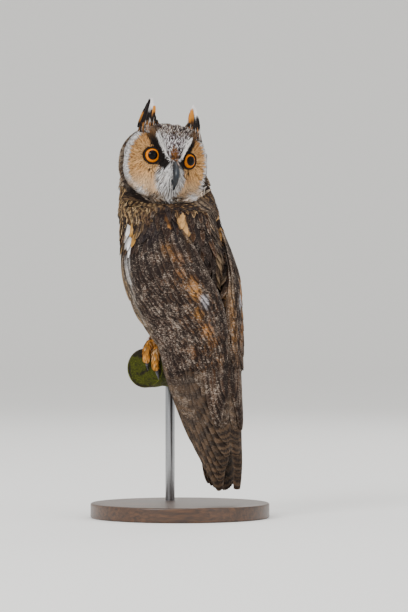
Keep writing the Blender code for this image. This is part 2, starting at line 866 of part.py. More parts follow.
def wing_vanes(side, seed):
    """The wing's feathers in tiers, from the long primaries up to the scapulars."""
    draw = random.Random(seed)
    surface = wing_surface(side)
    look = vane_feather()
    made = []

    def tier(surface, count, roots, tips, half_width, lifts, thick, shape, tilt):
        for index in range(count):
            share = index / (count - 1)
            root = [low + (high - low) * share for low, high in roots]
            tip = [low + (high - low) * share for low, high in tips]
            tip[1] += draw.uniform(-0.0022, 0.0022)
            wide = half_width * draw.uniform(0.93, 1.05)
            made.append(vane(surface, root, tip, wide, lifts, thick, look, tilt, shape))

    folded = fold_surface(side)
    primary_tips = ((0.05, 0.034), (0.18, 0.012), (0.36, 0.003), (0.54, 0.008), (0.71, 0.024))
    for index, tip in enumerate(primary_tips):
        root = (0.06 + 0.07 * index, 0.162 - 0.006 * index)
        deep = -0.0062 + 0.0007 * index
        made.append(vane(folded, root, tip, 0.0090, (deep, deep + 0.0022), 0.0007, look, 0.0028))
    secondary = ((0.10, 0.84), (0.150, 0.150)), ((0.14, 0.78), (0.066, 0.056))
    tertial = ((0.78, 0.96), (0.165, 0.170)), ((0.76, 0.92), (0.062, 0.090))
    greater = ((0.07, 0.88), (0.168, 0.172)), ((0.09, 0.88), (0.112, 0.126))
    median = ((0.08, 0.86), (0.200, 0.204)), ((0.10, 0.86), (0.150, 0.160))
    scapular = ((0.68, 0.96), (0.225, 0.236)), ((0.64, 0.93), (0.172, 0.142))
    alula = ((0.02, 0.14), (0.228, 0.226)), ((0.03, 0.13), (0.178, 0.196))
    tier(folded, 5, *secondary, 0.0112, (-0.0052, -0.0008), 0.0007, VANE_SHAPE, 0.0013)
    tier(surface, 3, *tertial, 0.0090, (-0.0058, 0.0002), 0.0008, VANE_SHAPE, 0.0013)
    tier(surface, 5, *greater, 0.0120, (-0.0062, -0.0004), 0.0007, COVERT_SHAPE, 0.0011)
    tier(surface, 5, *median, 0.0112, (-0.0062, 0.0006), 0.0007, COVERT_SHAPE, 0.0011)
    tier(surface, 3, *scapular, 0.0100, (-0.0048, 0.0016), 0.0008, COVERT_SHAPE, 0.0012)
    tier(surface, 2, *alula, 0.0060, (-0.0050, 0.0006), 0.0008, COVERT_SHAPE, 0.0009)
    return made


def build_wing(name, side, seed, torso):
    """One folded wing: its core, the tiers of vanes rooted in it, and its fit round the torso."""
    wing = wing_core(name, side)
    combine(wing, wing_vanes(side, seed), "UNION")
    return combine(wing, [swollen(torso, 1.3 * GAP)], "DIFFERENCE", flat=FLAT_ANGLE / 4)


def tail_surface(left, height, lift):
    """The tail's upper face, which slopes back and a little to the bird's right towards its tip."""
    down = 1 - height / 0.128
    return body_point(-0.0405 - 0.0095 * down - lift, left - TAIL_SWAY * down, height)


def build_tail(torso):
    """Twelve tail feathers folded over each other, the middle pair on top, in a short fleshy root."""
    rows = (
        (0.132, 0.0130, 0.0050),
        (0.118, 0.0165, 0.0058),
        (0.102, 0.0150, 0.0048),
        (0.088, 0.0120, 0.0026),
    )
    rings = []
    sides = 12
    for height, half, deep in rows:
        ring = []
        for step in range(sides):
            angle = 2 * math.pi * step / sides
            ring.append(tail_surface(half * math.cos(angle), height, -0.0022 + deep * math.sin(angle)))
        rings.append(ring)
    tail = loft("tail", rings, vane_feather())
    draw = random.Random(23)
    vanes = []
    for index in range(12):
        place = index - 5.5
        layer = abs(place) - 0.5 + (0.5 if place < 0 else 0)
        root = (0.0095 * place / 5.5, 0.110)
        tip = (0.0172 * place / 5.5, 0.0012 + 0.007 * (place / 5.5) ** 2 + draw.uniform(0, 0.0015))
        lift = -0.0006 - 0.00105 * layer
        rooted = max(lift, -0.0052)
        vanes.append(vane(tail_surface, root, tip, 0.0082, (rooted, lift), 0.0007, vane_feather()))
    combine(tail, vanes, "UNION")
    return combine(tail, [swollen(torso, 1.3 * GAP)], "DIFFERENCE", flat=FLAT_ANGLE / 4)


def build_tuft(name, side, seed):
    """One ear tuft of overlapping feathers that fan a little from a root in the crown."""
    draw = random.Random(seed)

    def surface(across, rise, lift):
        back = 0.16 * rise + 2.2 * rise * rise
        lean = TUFT_LEAN[side] * max(rise, 0)
        return head_point(TUFT_FORWARD - back + lift, side * (TUFT_SPREAD + lean + across), TUFT_UP + rise)

    root = ball(name, surface(-0.0006, -0.0030, 0), 0.0076, vane_feather(), 12, 8)
    vanes = []
    count = 6
    for index in range(count):
        place = index - (count - 1) / 2
        length = TUFT_LENGTH * (1 - 0.085 * abs(place) ** 1.4) * draw.uniform(0.96, 1.02)
        lift = 0.0036 - 0.0012 * index
        start = (0.0026 * place, -0.002)
        finish = (0.0012 * place, length)
        vanes.append(
            vane(surface, start, finish, 0.0044, (lift, lift), 0.0008, vane_feather(), 0.0, LOCK_SHAPE)
        )
    combine(root, vanes, "UNION")
    return combine(root, [build_skull("skull_clearance", 1.3 * GAP)], "DIFFERENCE")


def face_surface(side, up, lift):
    return head_point(face_depth(side, up) + lift, side, up)


def face_locks():
    """The ruff round the disc, the brow bars, the bristles beside the bill and the chin tuft."""
    draw = random.Random(41)
    look = face_plumage()
    locks = []
    count = 22
    for index in range(count):
        angle = math.radians(-262 + 344 * index / (count - 1))
        if abs(math.cos(angle)) < 0.80 and math.sin(angle) > 0:
            continue
        start = (angle, 0.91)
        finish = (angle + draw.uniform(-0.03, 0.03), 1.15 + draw.uniform(-0.02, 0.02))
        locks.append(
            vane(head_surface, start, finish, 0.0058, (-0.0014, 0.0014), 0.0010, look, 0.0, LOCK_SHAPE)
        )
    for side in (-1, 1):
        for index in range(3):
            start = (side * (0.0050 + 0.0020 * index), -0.002 + 0.004 * index)
            finish = (side * (0.0150 + 0.0035 * index), 0.022 + 0.003 * index)
            locks.append(
                vane(face_surface, start, finish, 0.0026, (-0.0010, 0.0018), 0.0009, look, 0.0, LOCK_SHAPE)
            )
        for index in range(5):
            start = (side * (0.0052 + 0.0008 * index), -0.001 - 0.0028 * index)
            finish = (side * (0.0060 + 0.0016 * (4 - index)), -0.030 + 0.0030 * (4 - index))
            lifts = (-0.0010, 0.0012 + 0.0006 * index)
            locks.append(
                vane(face_surface, start, finish, 0.0017, lifts, 0.0008, look, 0.0, LOCK_SHAPE)
            )
    return locks


def main():
    for item in list(bpy.data.objects):
        bpy.data.objects.remove(item)
    torso = build_torso()
    eyes = [build_eye("eye_right", -1), build_eye("eye_left", 1)]
    bills = build_bill()
    head = build_head(eyes, bills)
    build_neck()
    build_tail(torso)
    build_wing("wing_left", 1, 5, torso)
    build_wing("wing_right", -1, 6, torso)
    build_tuft("ear_tuft_right", -1, 11)
    build_tuft("ear_tuft_left", 1, 12)
    perch = build_perch()
    build_stand(perch)
    leg = build_leg("leg_left", 1, NEAR_FOOT, torso)
    over_end = list(zip(END_TOES, END_CLAWS, strict=True))
    build_foot("foot_left", "left", NEAR_FOOT, NEAR_FLANK_TOES, over_end, leg, perch)
    leg = build_leg("leg_right", -1, FAR_FOOT, torso)
    build_foot("foot_right", "right", FAR_FOOT, FAR_FLANK_TOES, (), leg, perch)


main()
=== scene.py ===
"""A life-size long-eared owl, seen over its back with the head turned round, on a cut perch and a stand.

Every size is in metres, in the frame of the solids. Heights on the bird are measured up from its tail tip.
A smooth downy skin carries feathers as thin vanes that follow its form, and the long feathers of the
wings, tail and ear tufts lie in tiers on their own curved sheets.
"""

import math
from functools import partial

import bmesh
import bpy
import numpy as np
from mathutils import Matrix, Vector
from mathutils.bvhtree import BVHTree


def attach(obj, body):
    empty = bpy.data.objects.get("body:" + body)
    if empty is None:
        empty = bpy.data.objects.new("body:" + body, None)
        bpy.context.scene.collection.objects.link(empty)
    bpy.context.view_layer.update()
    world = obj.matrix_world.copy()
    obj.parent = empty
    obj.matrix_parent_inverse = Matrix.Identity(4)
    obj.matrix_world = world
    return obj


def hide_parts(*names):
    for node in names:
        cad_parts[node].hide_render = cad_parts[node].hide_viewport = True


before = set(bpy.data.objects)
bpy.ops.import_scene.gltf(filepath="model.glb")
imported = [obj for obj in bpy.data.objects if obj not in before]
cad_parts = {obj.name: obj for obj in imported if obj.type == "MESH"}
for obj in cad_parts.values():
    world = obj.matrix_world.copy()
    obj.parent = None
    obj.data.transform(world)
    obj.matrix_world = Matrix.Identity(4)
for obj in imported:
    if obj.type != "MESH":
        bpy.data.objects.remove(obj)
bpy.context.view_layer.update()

bl_info = {
    "name": "Long-eared Owl Model",
    "version": (1, 0, 0),
    "blender": (4, 5, 0),
    "location": "View3D > Sidebar > Owl",
    "description": "Builds the feathered owl, its perch and its stand round the packed solids",
    "category": "Object",
}

UP = np.array((0.0, 0.0, 1.0))
TAIL_TIP_Z = 0.026
BODY_TURN = math.radians(50)
FORWARD = np.array((-math.sin(BODY_TURN), math.cos(BODY_TURN), 0.0))
LEFT = np.array((-math.cos(BODY_TURN), -math.sin(BODY_TURN), 0.0))

# Feathered body with its folded wings: height, forward place, half depth, half width.
ENVELOPE = (
    (0.300, 0.021, 0.040, 0.044),
    (0.271, 0.016, 0.049, 0.055),
    (0.247, 0.011, 0.051, 0.057),
    (0.223, 0.005, 0.053, 0.059),
    (0.200, -0.001, 0.053, 0.059),
    (0.171, -0.009, 0.049, 0.055),
    (0.142, -0.019, 0.042, 0.049),
    (0.114, -0.026, 0.035, 0.044),
    (0.086, -0.035, 0.027, 0.038),
    (0.057, -0.045, 0.019, 0.033),
    (0.028, -0.053, 0.013, 0.027),
    (0.000, -0.056, 0.009, 0.021),
)
# Torso under the wings: height, front, back, half width.
TORSO = (
    (0.262, 0.064, -0.031, 0.049),
    (0.240, 0.063, -0.036, 0.050),
    (0.215, 0.057, -0.041, 0.050),
    (0.190, 0.048, -0.044, 0.048),
    (0.171, 0.036, -0.046, 0.045),
    (0.155, 0.022, -0.047, 0.040),
    (0.142, 0.008, -0.047, 0.034),
    (0.128, -0.006, -0.046, 0.027),
    (0.114, -0.018, -0.044, 0.019),
    (0.104, -0.026, -0.042, 0.010),
)
# Neck collar in the viewing frame: height, X, Y, half X, half Y.
NECK = (
    (0.2623, -0.0111, 0.0093, 0.0525, 0.0500),
    (0.2680, -0.0115, 0.0150, 0.0515, 0.0440),
    (0.2750, -0.0125, 0.0205, 0.0502, 0.0375),
    (0.2830, -0.0138, 0.0245, 0.0490, 0.0330),
    (0.2920, -0.0150, 0.0270, 0.0465, 0.0285),
    (0.3020, -0.0165, 0.0285, 0.0430, 0.0240),
    (0.3120, -0.0170, 0.0290, 0.0370, 0.0190),
    (0.3190, -0.0170, 0.0290, 0.0250, 0.0120),
)
# Edges of the folded wing: height, angle round the body in degrees.
WING_LEAD = (
    (0.262, 52),
    (0.235, 48),
    (0.200, 52),
    (0.172, 58),
    (0.155, 73),
    (0.140, 85),
    (0.125, 85),
    (0.100, 80),
    (0.050, 88),
    (0.005, 100),
)
WING_BACK = ((0.262, 138), (0.235, 150), (0.200, 164), (0.170, 178), (0.005, 178))

HEAD_TURN = math.radians(25)
HEAD_ROLL = math.radians(7)
HEAD_CENTRE = np.array((-0.0177, 0.008, TAIL_TIP_Z + 0.3116))
FACE_HALF_WIDTH = 0.0425
FACE_TOP = 0.0370
FACE_BOTTOM = 0.0365
FACE_CENTRE_UP = -0.002
RIM_DEPTH = 0.012
SKULL_DEPTH = 0.050
EYE_RADIUS = 0.0095
EYE_SPREAD = 0.0182
EYE_FORWARD = 0.0150
EYE_UP = 0.0033
EYE_OUT_TURN = math.radians(12)
PUPIL_RADIUS = 0.0045
IRIS_RADIUS = 0.0064
LID_RADIUS = 0.0076
LID_THICKNESS = 0.0008
TUFT_SPREAD = 0.0250
TUFT_FORWARD = 0.0125
TUFT_UP = 0.0300
TUFT_LENGTH = 0.0285
TUFT_HALF_WIDTH = 0.0082
# Sideways lean of the right and the left tuft, for each metre of rise.
TUFT_LEAN = (-0.16, -0.06)

PERCH_TURN = math.radians(25)
PERCH_AXIS = -np.array((math.sin(PERCH_TURN), math.cos(PERCH_TURN), 0.0))
PERCH_ACROSS = -np.cross(PERCH_AXIS, UP)
PERCH_HEIGHT = 0.116
PERCH_RADIUS = 0.019
PERCH_LENGTH = 0.098
PERCH_END = (0.0170, 0.0312)
ROD_PLACE = 0.055
ROD_RADIUS = 0.0045
BASE_RADIUS = 0.085
BASE_HEIGHT = 0.014
TAIL_SWAY = 0.0075
# The tail's root inside the skin: height, half width, half depth.
TAIL_ROOT = (
    (0.134, 0.0120, 0.0046), (0.118, 0.0150, 0.0052), (0.102, 0.0138, 0.0040), (0.090, 0.0110, 0.0020)
)
# Radii of a feathered leg from the belly down to the foot.
LEG_RADII = (0.0120, 0.0112, 0.0096, 0.0080, 0.0068, 0.0062)
TOE_RADIUS = 0.0046
CLAW_RADIUS = 0.0021
VANE_THICKNESS = 0.00028
# Where each foot stands on the perch: along from the near end, and degrees up from the right-hand side.
NEAR_FOOT = (0.0085, 68)
FAR_FOOT = (0.0525, 90)
# Toes that wrap round the perch: offset along from the foot, side, and how many degrees they reach.
NEAR_FLANK_TOES = ((0.0020, 1, 88), (0.0112, 1, 92))
FAR_FLANK_TOES = ((-0.0052, 1, 88), (0.0050, 1, 92), (-0.0056, -1, 84), (0.0054, -1, 90))
# Toes of the near foot that hook over the perch's end, and their claws: along, across and up from its axis.
END_TOES = (
    (
        (0.0110, 0.0135, 0.0200),
        (0.0035, 0.0140, 0.0196),
        (-0.0030, 0.0138, 0.0172),
        (-0.0053, 0.0135, 0.0110),
        (-0.0053, 0.0135, 0.0040),
        (-0.0047, 0.0140, -0.0015),
    ),
    (
        (0.0110, 0.0050, 0.0236),
        (0.0035, 0.0048, 0.0236),
        (-0.0030, 0.0046, 0.0212),
        (-0.0053, 0.0044, 0.0155),
        (-0.0053, 0.0042, 0.0100),
        (-0.0047, 0.0040, 0.0060),
    ),
)
END_CLAWS = (
    (
        (-0.0036, 0.0141, -0.0004),
        (-0.0034, 0.0147, -0.0046),
        (-0.0024, 0.0152, -0.0082),
        (-0.0010, 0.0152, -0.0108),
    ),
    (
        (-0.0036, 0.0040, 0.0071),
        (-0.0034, 0.0040, 0.0032),
        (-0.0024, 0.0042, 0.0000),
        (-0.0010, 0.0043, -0.0024),
    ),
)


def linear(code):
    """An sRGB hex value as linear red, green and blue."""
    parts = np.array([int(code[index : index + 2], 16) for index in (1, 3, 5)]) / 255
    return np.where(parts <= 0.04045, parts / 12.92, ((parts + 0.055) / 1.055) ** 2.4)


def blend(low, high, value):
    """0 below low, 1 above high, and smooth between."""
    share = np.clip((value - low) / (high - low), 0, 1)
    return share * share * (3 - 2 * share)


def hump(value, middle, width):
    return np.exp(-(((value - middle) / width) ** 2))


def unit(vectors, least=0.0):
    """The vectors at length one; those shorter than the least stay short."""
    return vectors / np.maximum(np.linalg.norm(vectors, axis=-1, keepdims=True), least)


def curve_through(rows):
    """A function that gives the rows' other columns at a value of the first, on a smooth curve."""
    table = np.array(sorted(rows), dtype=float)
    place, values = table[:, 0], table[:, 1:]
    slope = np.empty_like(values)
    slope[1:-1] = (values[2:] - values[:-2]) / (place[2:] - place[:-2])[:, None]
    slope[0] = (values[1] - values[0]) / (place[1] - place[0])
    slope[-1] = (values[-1] - values[-2]) / (place[-1] - place[-2])

    def at(value):
        held = np.clip(value, place[0], place[-1])
        low = np.clip(np.searchsorted(place, held) - 1, 0, len(place) - 2)
        span = place[low + 1] - place[low]
        share = ((held - place[low]) / span)[..., None]
        span = np.asarray(span)[..., None]
        square, cube = share**2, share**3
        found = values[low] * (2 * cube - 3 * square + 1) + values[low + 1] * (3 * square - 2 * cube)
        found += span * (slope[low] * (cube - 2 * square + share) + slope[low + 1] * (cube - square))
        return tuple(found[..., column] for column in range(values.shape[1]))

    return at


envelope_at = curve_through(ENVELOPE)
torso_at = curve_through(TORSO)
neck_at = curve_through(NECK)
wing_lead_at = curve_through(WING_LEAD)
wing_back_at = curve_through(WING_BACK)


def spread(*values):
    return np.broadcast_arrays(*[np.asarray(value, dtype=float) for value in values])


def body_point(forward, left, height):
    forward, left, height = spread(forward, left, height)
    return forward[..., None] * FORWARD + left[..., None] * LEFT + (height + TAIL_TIP_Z)[..., None] * UP


def to_body(points):
    """Forward, left and height of points, in the body frame."""
    return points @ FORWARD, points @ LEFT, points[..., 2] - TAIL_TIP_Z


def envelope_point(angle, height, lift, side=1):
    """A point on the outer plumage: angle round from the breast, and a lift outwards from it."""
    angle, height, lift = spread(angle, height, lift)
    middle, depth, width = envelope_at(height)
    forward = middle + (depth + lift) * np.cos(angle)
    left = (width + lift) * np.sin(angle)
    return body_point(forward, side * np.maximum(left, 0.0003), height)


def torso_point(angle, height, lift=0.0):
    angle, height, lift = spread(angle, height, lift)
    front, back, width = torso_at(height)
    spine = np.abs(np.degrees(angle) - 180)
    reach = lift + 0.009 * hump(spine, 0, 26) * blend(0.185, 0.225, height)
    forward = (front + back) / 2 + ((front - back) / 2 + reach) * np.cos(angle)
    return body_point(forward, (width + reach) * np.sin(angle), height)


def neck_point(angle, height, lift=0.0):
    angle, height, lift = spread(angle, height, lift)
    x, y, half_x, half_y = neck_at(height)
    return np.stack(
        (
            x + (half_x + lift) * np.cos(angle), y + (half_y + lift) * np.sin(angle), height + TAIL_TIP_Z
        ), axis=-1
    )


HEAD_FORWARD = np.array((math.sin(HEAD_TURN), -math.cos(HEAD_TURN), 0.0))
LEVEL_SIDE = np.array((math.cos(HEAD_TURN), math.sin(HEAD_TURN), 0.0))
HEAD_SIDE = LEVEL_SIDE * math.cos(HEAD_ROLL) - UP * math.sin(HEAD_ROLL)
HEAD_UP = UP * math.cos(HEAD_ROLL) + LEVEL_SIDE * math.sin(HEAD_ROLL)


def head_point(forward, side, up):
    forward, side, up = spread(forward, side, up)
    return HEAD_CENTRE + forward[..., None] * HEAD_FORWARD + side[..., None] * HEAD_SIDE + up[
        ..., None
    ] * HEAD_UP


def to_head(points):
    """Forward, side and up of points, in the head's frame; side is positive to the right in view."""
    local = points - HEAD_CENTRE
    return local @ HEAD_FORWARD, local @ HEAD_SIDE, local @ HEAD_UP


def face_rim(angle):
    """How far the disc's rim lies from the face's middle, towards an angle round the face."""
    reach_up = np.where(np.sin(angle) > 0, FACE_TOP, FACE_BOTTOM)
    side = np.abs(np.cos(angle)) / FACE_HALF_WIDTH
    rise = np.abs(np.sin(angle)) / reach_up
    return (side**2.3 + rise**2.3) ** (-1 / 2.3)


def face_depth(side, up):
    """How far forward the face lies: a curved disc, a ridge down to the bill, brows and dished cheeks."""
    across = np.abs(side)
    curve = RIM_DEPTH + 0.0125 * (1 - (across / FACE_HALF_WIDTH) ** 2) - 0.004 * (up / 0.036) ** 2
    dish = -0.0035 * hump(across, 0.0310, 0.0075) * hump(up, 0, 0.024)
    ridge = 0.0105 * hump(across, 0, 0.0085) * hump(up, -0.012, 0.020)
    brow_line = 0.005 + np.maximum(up + 0.004, 0) * 0.50
    brow = 0.0034 * hump(across, brow_line, 0.0042) * blend(-0.012, 0.004, up) * (
        1 - blend(0.026, 0.036, up)
    )
    forehead = 0.0022 * hump(across, 0, 0.004 + np.maximum(up, 0) * 0.35) * blend(0.0, 0.012, up)
    return curve + dish + ridge + brow + forehead


def head_surface(angle, along, lift=0.0):
    """The head round the face's axis: along runs 0 at the face's middle, 1 on the rim, 2 at the nape."""
    angle, along, lift = spread(angle, along, lift)
    reach = face_rim(angle)
    side, up = np.cos(angle), np.sin(angle)
    turn = np.clip(along - 1, 0, 1) * math.pi / 2
    disc_side = side * reach * along
    disc_up = FACE_CENTRE_UP + up * reach * along
    front = face_depth(disc_side, disc_up) + 0.0016 * hump(along, 0.97, 0.06) + lift
    radius = reach * (1 + 0.07 * np.sin(2 * turn)) * np.maximum(np.cos(turn), 1e-6) ** 0.85 + lift * np.cos(
        turn
    )
    rim_forward = face_depth(side * reach, FACE_CENTRE_UP + up * reach)
    back = rim_forward - (SKULL_DEPTH + rim_forward - RIM_DEPTH) * np.sin(turn) - lift * np.sin(turn)
    on_face = along <= 1
    return head_point(
        np.where(on_face, front, back),
        np.where(on_face, disc_side, side * radius),
        np.where(on_face, disc_up, FACE_CENTRE_UP * np.cos(turn) + up * radius),
    )


def eye_centre(side):
    return head_point(EYE_FORWARD, side * EYE_SPREAD, EYE_UP)


def eye_gaze(side):
    return HEAD_FORWARD * math.cos(EYE_OUT_TURN) + HEAD_SIDE * side * math.sin(EYE_OUT_TURN)


def wing_angle(share, height):
    """The angle round the body at a share of the way from the wing's leading edge to its back edge."""
    lead, back = wing_lead_at(height)[0], wing_back_at(height)[0]
    return np.radians(lead + (back - lead) * np.clip(share, -0.06, 1.0))


def wing_surface(side):
    def point(share, height, lift):
        share, height, lift = spread(share, height, lift)
        return envelope_point(wing_angle(share, height), height, lift, side)

    return point


def fold_surface(side):
    """The flatter sheet that the long flight feathers lie in, from the leading edge to the back edge."""

    def point(share, height, lift):
        share, height, lift = spread(share, height, lift)
        lead = envelope_point(wing_angle(share * 0, height), height, 0, side)
        middle = envelope_point(wing_angle(share * 0 + 0.5, height), height, 0, side)
        back = envelope_point(wing_angle(share * 0 + 1, height), height, 0, side)
        crown = middle - (lead + back) / 2
        place = np.clip(share, -0.06, 0.92)[..., None]
        bulge = 4 * place * (1 - place) * (0.50 + 0.50 * blend(0.03, 0.11, height))[..., None]
        return lead + (back - lead) * place + crown * bulge + unit(crown) * lift[..., None]

    return point


def tail_surface(left, height, lift):
    """The tail's upper face, which slopes back and to the bird's right a little towards its tip."""
    left, height, lift = spread(left, height, lift)
    down = 1 - height / 0.128
    return body_point(-0.0405 - 0.0095 * down - lift, left - TAIL_SWAY * down, height)


def tuft_surface(side):
    def point(across, rise, lift):
        across, rise, lift = spread(across, rise, lift)
        back = 0.16 * rise + 2.2 * rise * rise
        lean = TUFT_LEAN[0 if side < 0 else 1] * np.maximum(rise, 0)
        return head_point(TUFT_FORWARD - back + lift, side * (TUFT_SPREAD + lean + across), TUFT_UP + rise)

    return point


def perch_point(along, angle, radius):
    """A point round the perch: along from its near end, angle up from its right-hand side in view."""
    along, angle, radius = spread(along, angle, radius)
    end = body_point(*PERCH_END, PERCH_HEIGHT)
    turned = PERCH_ACROSS * np.cos(angle)[..., None] + UP * np.sin(angle)[..., None]
    return end - PERCH_AXIS * along[..., None] + turned * radius[..., None]


def deselect():
    bpy.ops.object.select_all(action="DESELECT")


def make_active(item):
    deselect()
    item.hide_set(False)
    item.select_set(True)
    bpy.context.view_layer.objects.active = item


def new_piece(name, points, faces, surface=None):
    mesh = bpy.data.meshes.new(name)
    mesh.from_pydata(np.asarray(points).reshape(-1, 3).tolist(), [], faces)
    mesh.update()
    item = bpy.data.objects.new(name, mesh)
    bpy.context.scene.collection.objects.link(item)
    if surface:
        mesh.materials.append(surface)
    return item


def grid_faces(rows, columns, closed=False, first=0):
    """Four-sided faces between rows of points; closed joins each row's end to its start."""
    faces = []
    for row in range(rows - 1):
        for column in range(columns if closed else columns - 1):
            a = first + row * columns + column
            b = first + row * columns + (column + 1) % columns
            faces.append((a, b, b + columns, a + columns))
    return faces


def loft(name, rings):
    """A closed body through rings of as many points each, with its faces turned outwards."""
    rings = np.asarray(rings)
    count, sides = rings.shape[:2]
    faces = grid_faces(count, sides, True)
    faces.append(tuple(range(sides)))
    faces.append(tuple((count - 1) * sides + side for side in range(sides)))
    item = new_piece(name, rings, faces)
    work = bmesh.new()
    work.from_mesh(item.data)
    bmesh.ops.recalc_face_normals(work, faces=work.faces)
    work.to_mesh(item.data)
    work.free()
    return item


def sweep(name, centres, radii, sides=16, reference=UP):
    """A tapered round body along a line of centres; the reference is a way that the line never takes."""
    centres = np.asarray(centres)
    along = unit(np.gradient(centres, axis=0))
    across = unit(np.cross(along, reference))
    other = np.cross(along, across)
    turns = np.linspace(0, 2 * math.pi, sides, endpoint=False)
    reach = np.asarray(radii)[:, None, None]
    around = across[:, None] * np.cos(turns)[None, :, None] + other[:, None] * np.sin(turns)[None, :, None]
    return loft(name, centres[:, None] + reach * around)


def join(items, name):
    deselect()
    for item in items:
        item.select_set(True)
    bpy.context.view_layer.objects.active = items[0]
    bpy.ops.object.join()
    items[0].name = name
    return items[0]


def apply_modifier(item, kind, **settings):
    make_active(item)
    step = item.modifiers.new(kind.lower(), kind)
    for key, value in settings.items():
        setattr(step, key, value)
    bpy.ops.object.modifier_apply(modifier=step.name)


def smooth_faces(item):
    item.data.polygons.foreach_set("use_smooth", np.ones(len(item.data.polygons), dtype=bool))
    item.data.update()


def mesh_points(item):
    points = np.empty(len(item.data.vertices) * 3)
    item.data.vertices.foreach_get("co", points)
    return points.reshape(-1, 3)


def move_points(item, points):
    item.data.vertices.foreach_set("co", points.ravel())


def placed():
    """The piece that was just added, with its place and turn put into its points."""
    bpy.ops.object.transform_apply(location=True, rotation=True, scale=True)
    return bpy.context.object


def smooth_by_angle(item, degrees):
    make_active(item)
    bpy.ops.object.shade_smooth_by_angle(angle=math.radians(degrees))


def edit_chosen(item, kind, wanted):
    """Opens a piece for editing, with only those faces or edges chosen that the test wants."""
    bpy.ops.object.mode_set(mode="EDIT")
    bpy.ops.mesh.select_mode(type=kind)
    bpy.ops.mesh.select_all(action="DESELECT")
    work = bmesh.from_edit_mesh(item.data)
    for part in work.faces if kind == "FACE" else work.edges:
        part.select = wanted(part)
    bmesh.update_edit_mesh(item.data)


def set_colour(item, name, values):
    """Stores a linear colour for each point of a mesh."""
    layer = item.data.attributes.new(name, "FLOAT_COLOR", "POINT")
    flat = np.ones((len(values), 4))
    flat[:, : values.shape[1]] = values
    layer.data.foreach_set("color", flat.ravel())


def skin_unwrap(points):
    """A place on the unwrap of the skin: round the body and up it, with the head and face beside it."""
    forward, left, height = to_body(points)
    middle, depth, width = envelope_at(height)
    turn = np.arctan2(left / width, (forward - middle) / depth) / (2 * math.pi) + 0.5
    body = np.stack((0.02 + 0.58 * turn, 0.02 + 0.94 * np.clip(height / 0.30, 0, 1)), axis=-1)
    head_forward, side, up = to_head(points)
    angle = np.arctan2(up - FACE_CENTRE_UP, side)
    near = np.hypot(side, up - FACE_CENTRE_UP) / face_rim(angle)
    along = np.where(head_forward > 0.004, near, 2.2 - near)
    spot = np.stack((np.cos(angle), np.sin(angle)), axis=-1) * along[..., None] * 0.085
    head = np.array((0.81, 0.76)) + spot
    on_head = (np.linalg.norm(points - HEAD_CENTRE, axis=-1) < 0.062) & (up > -0.036)
    return np.where(on_head[..., None], head, body)


class Coat:
    """Gathers vanes as rows and columns of points, and makes them one mesh."""

    def __init__(self):
        self.batches = []

    def add(self, grid, tone, mark, home=None):
        """grid: vanes, rows, columns, 3. tone: colours of vanes or points. mark: shaft, fleck and bar."""
        count, rows, columns = grid.shape[:3]
        tone = np.asarray(tone, dtype=float)
        if tone.ndim == 2:
            tone = tone[:, None, None, :]
        tone = np.broadcast_to(tone, (count, rows, columns, 3))
        mark = np.broadcast_to(np.asarray(mark, dtype=float), (count, 3))[:, None, None, :]
        mark = np.broadcast_to(mark, (count, rows, columns, 3))
        if home is None:
            home = skin_unwrap(grid[:, 0, columns // 2])
        self.batches.append((grid, tone, mark, home))

    def make(self, name, surface):
        points, faces, tones, marks, spots, homes = [], [], [], [], [], []
        first = 0
        for grid, tone, mark, home in self.batches:
            count, rows, columns = grid.shape[:3]
            pattern = np.array(grid_faces(rows, columns))
            size = rows * columns
            starts = first + np.arange(count) * size
            faces.append((starts[:, None, None] + pattern[None]).reshape(-1, 4))
            v, u = np.meshgrid(np.linspace(0, 1, rows), np.linspace(0, 1, columns), indexing="ij")
            place = np.stack((u, v), axis=-1).reshape(1, size, 2)
            spots.append(np.broadcast_to(place, (count, size, 2)).reshape(-1, 2))
            homes.append((home[:, None] + (place - 0.5) * 0.003).reshape(-1, 2))
            points.append(grid.reshape(-1, 3))
            tones.append(tone.reshape(-1, 3))
            marks.append(mark.reshape(-1, 3))
            first += count * size
        faces = np.concatenate(faces)
        item = new_piece(name, np.concatenate(points), faces.tolist(), surface)
        set_colour(item, "tone", np.concatenate(tones))
        set_colour(item, "mark", np.concatenate(marks))
        corners = faces.ravel()
        for label, places in (("vane", np.concatenate(spots)), ("OFBake", np.concatenate(homes))):
            layer = item.data.uv_layers.new(name=label)
            layer.data.foreach_set("uv", places[corners].ravel())
        item.data.uv_layers.active = item.data.uv_layers["OFBake"]
        smooth_faces(item)
        return item


BODY_SHAPE = ((0.0, 0.50), (0.30, 0.92), (0.62, 1.0), (0.86, 0.72), (1.0, 0.22))
HAIR_SHAPE = ((0.0, 0.80), (0.40, 1.0), (0.75, 0.70), (1.0, 0.12))
FLIGHT_SHAPE = (
    (0.0, 0.45),
    (0.10, 0.70),
    (0.22, 0.86),
    (0.36, 0.95),
    (0.50, 1.0),
    (0.64, 1.0),
    (0.76, 0.97),
    (0.86, 0.88),
    (0.93, 0.72),
    (0.975, 0.48),
    (1.0, 0.20),
)


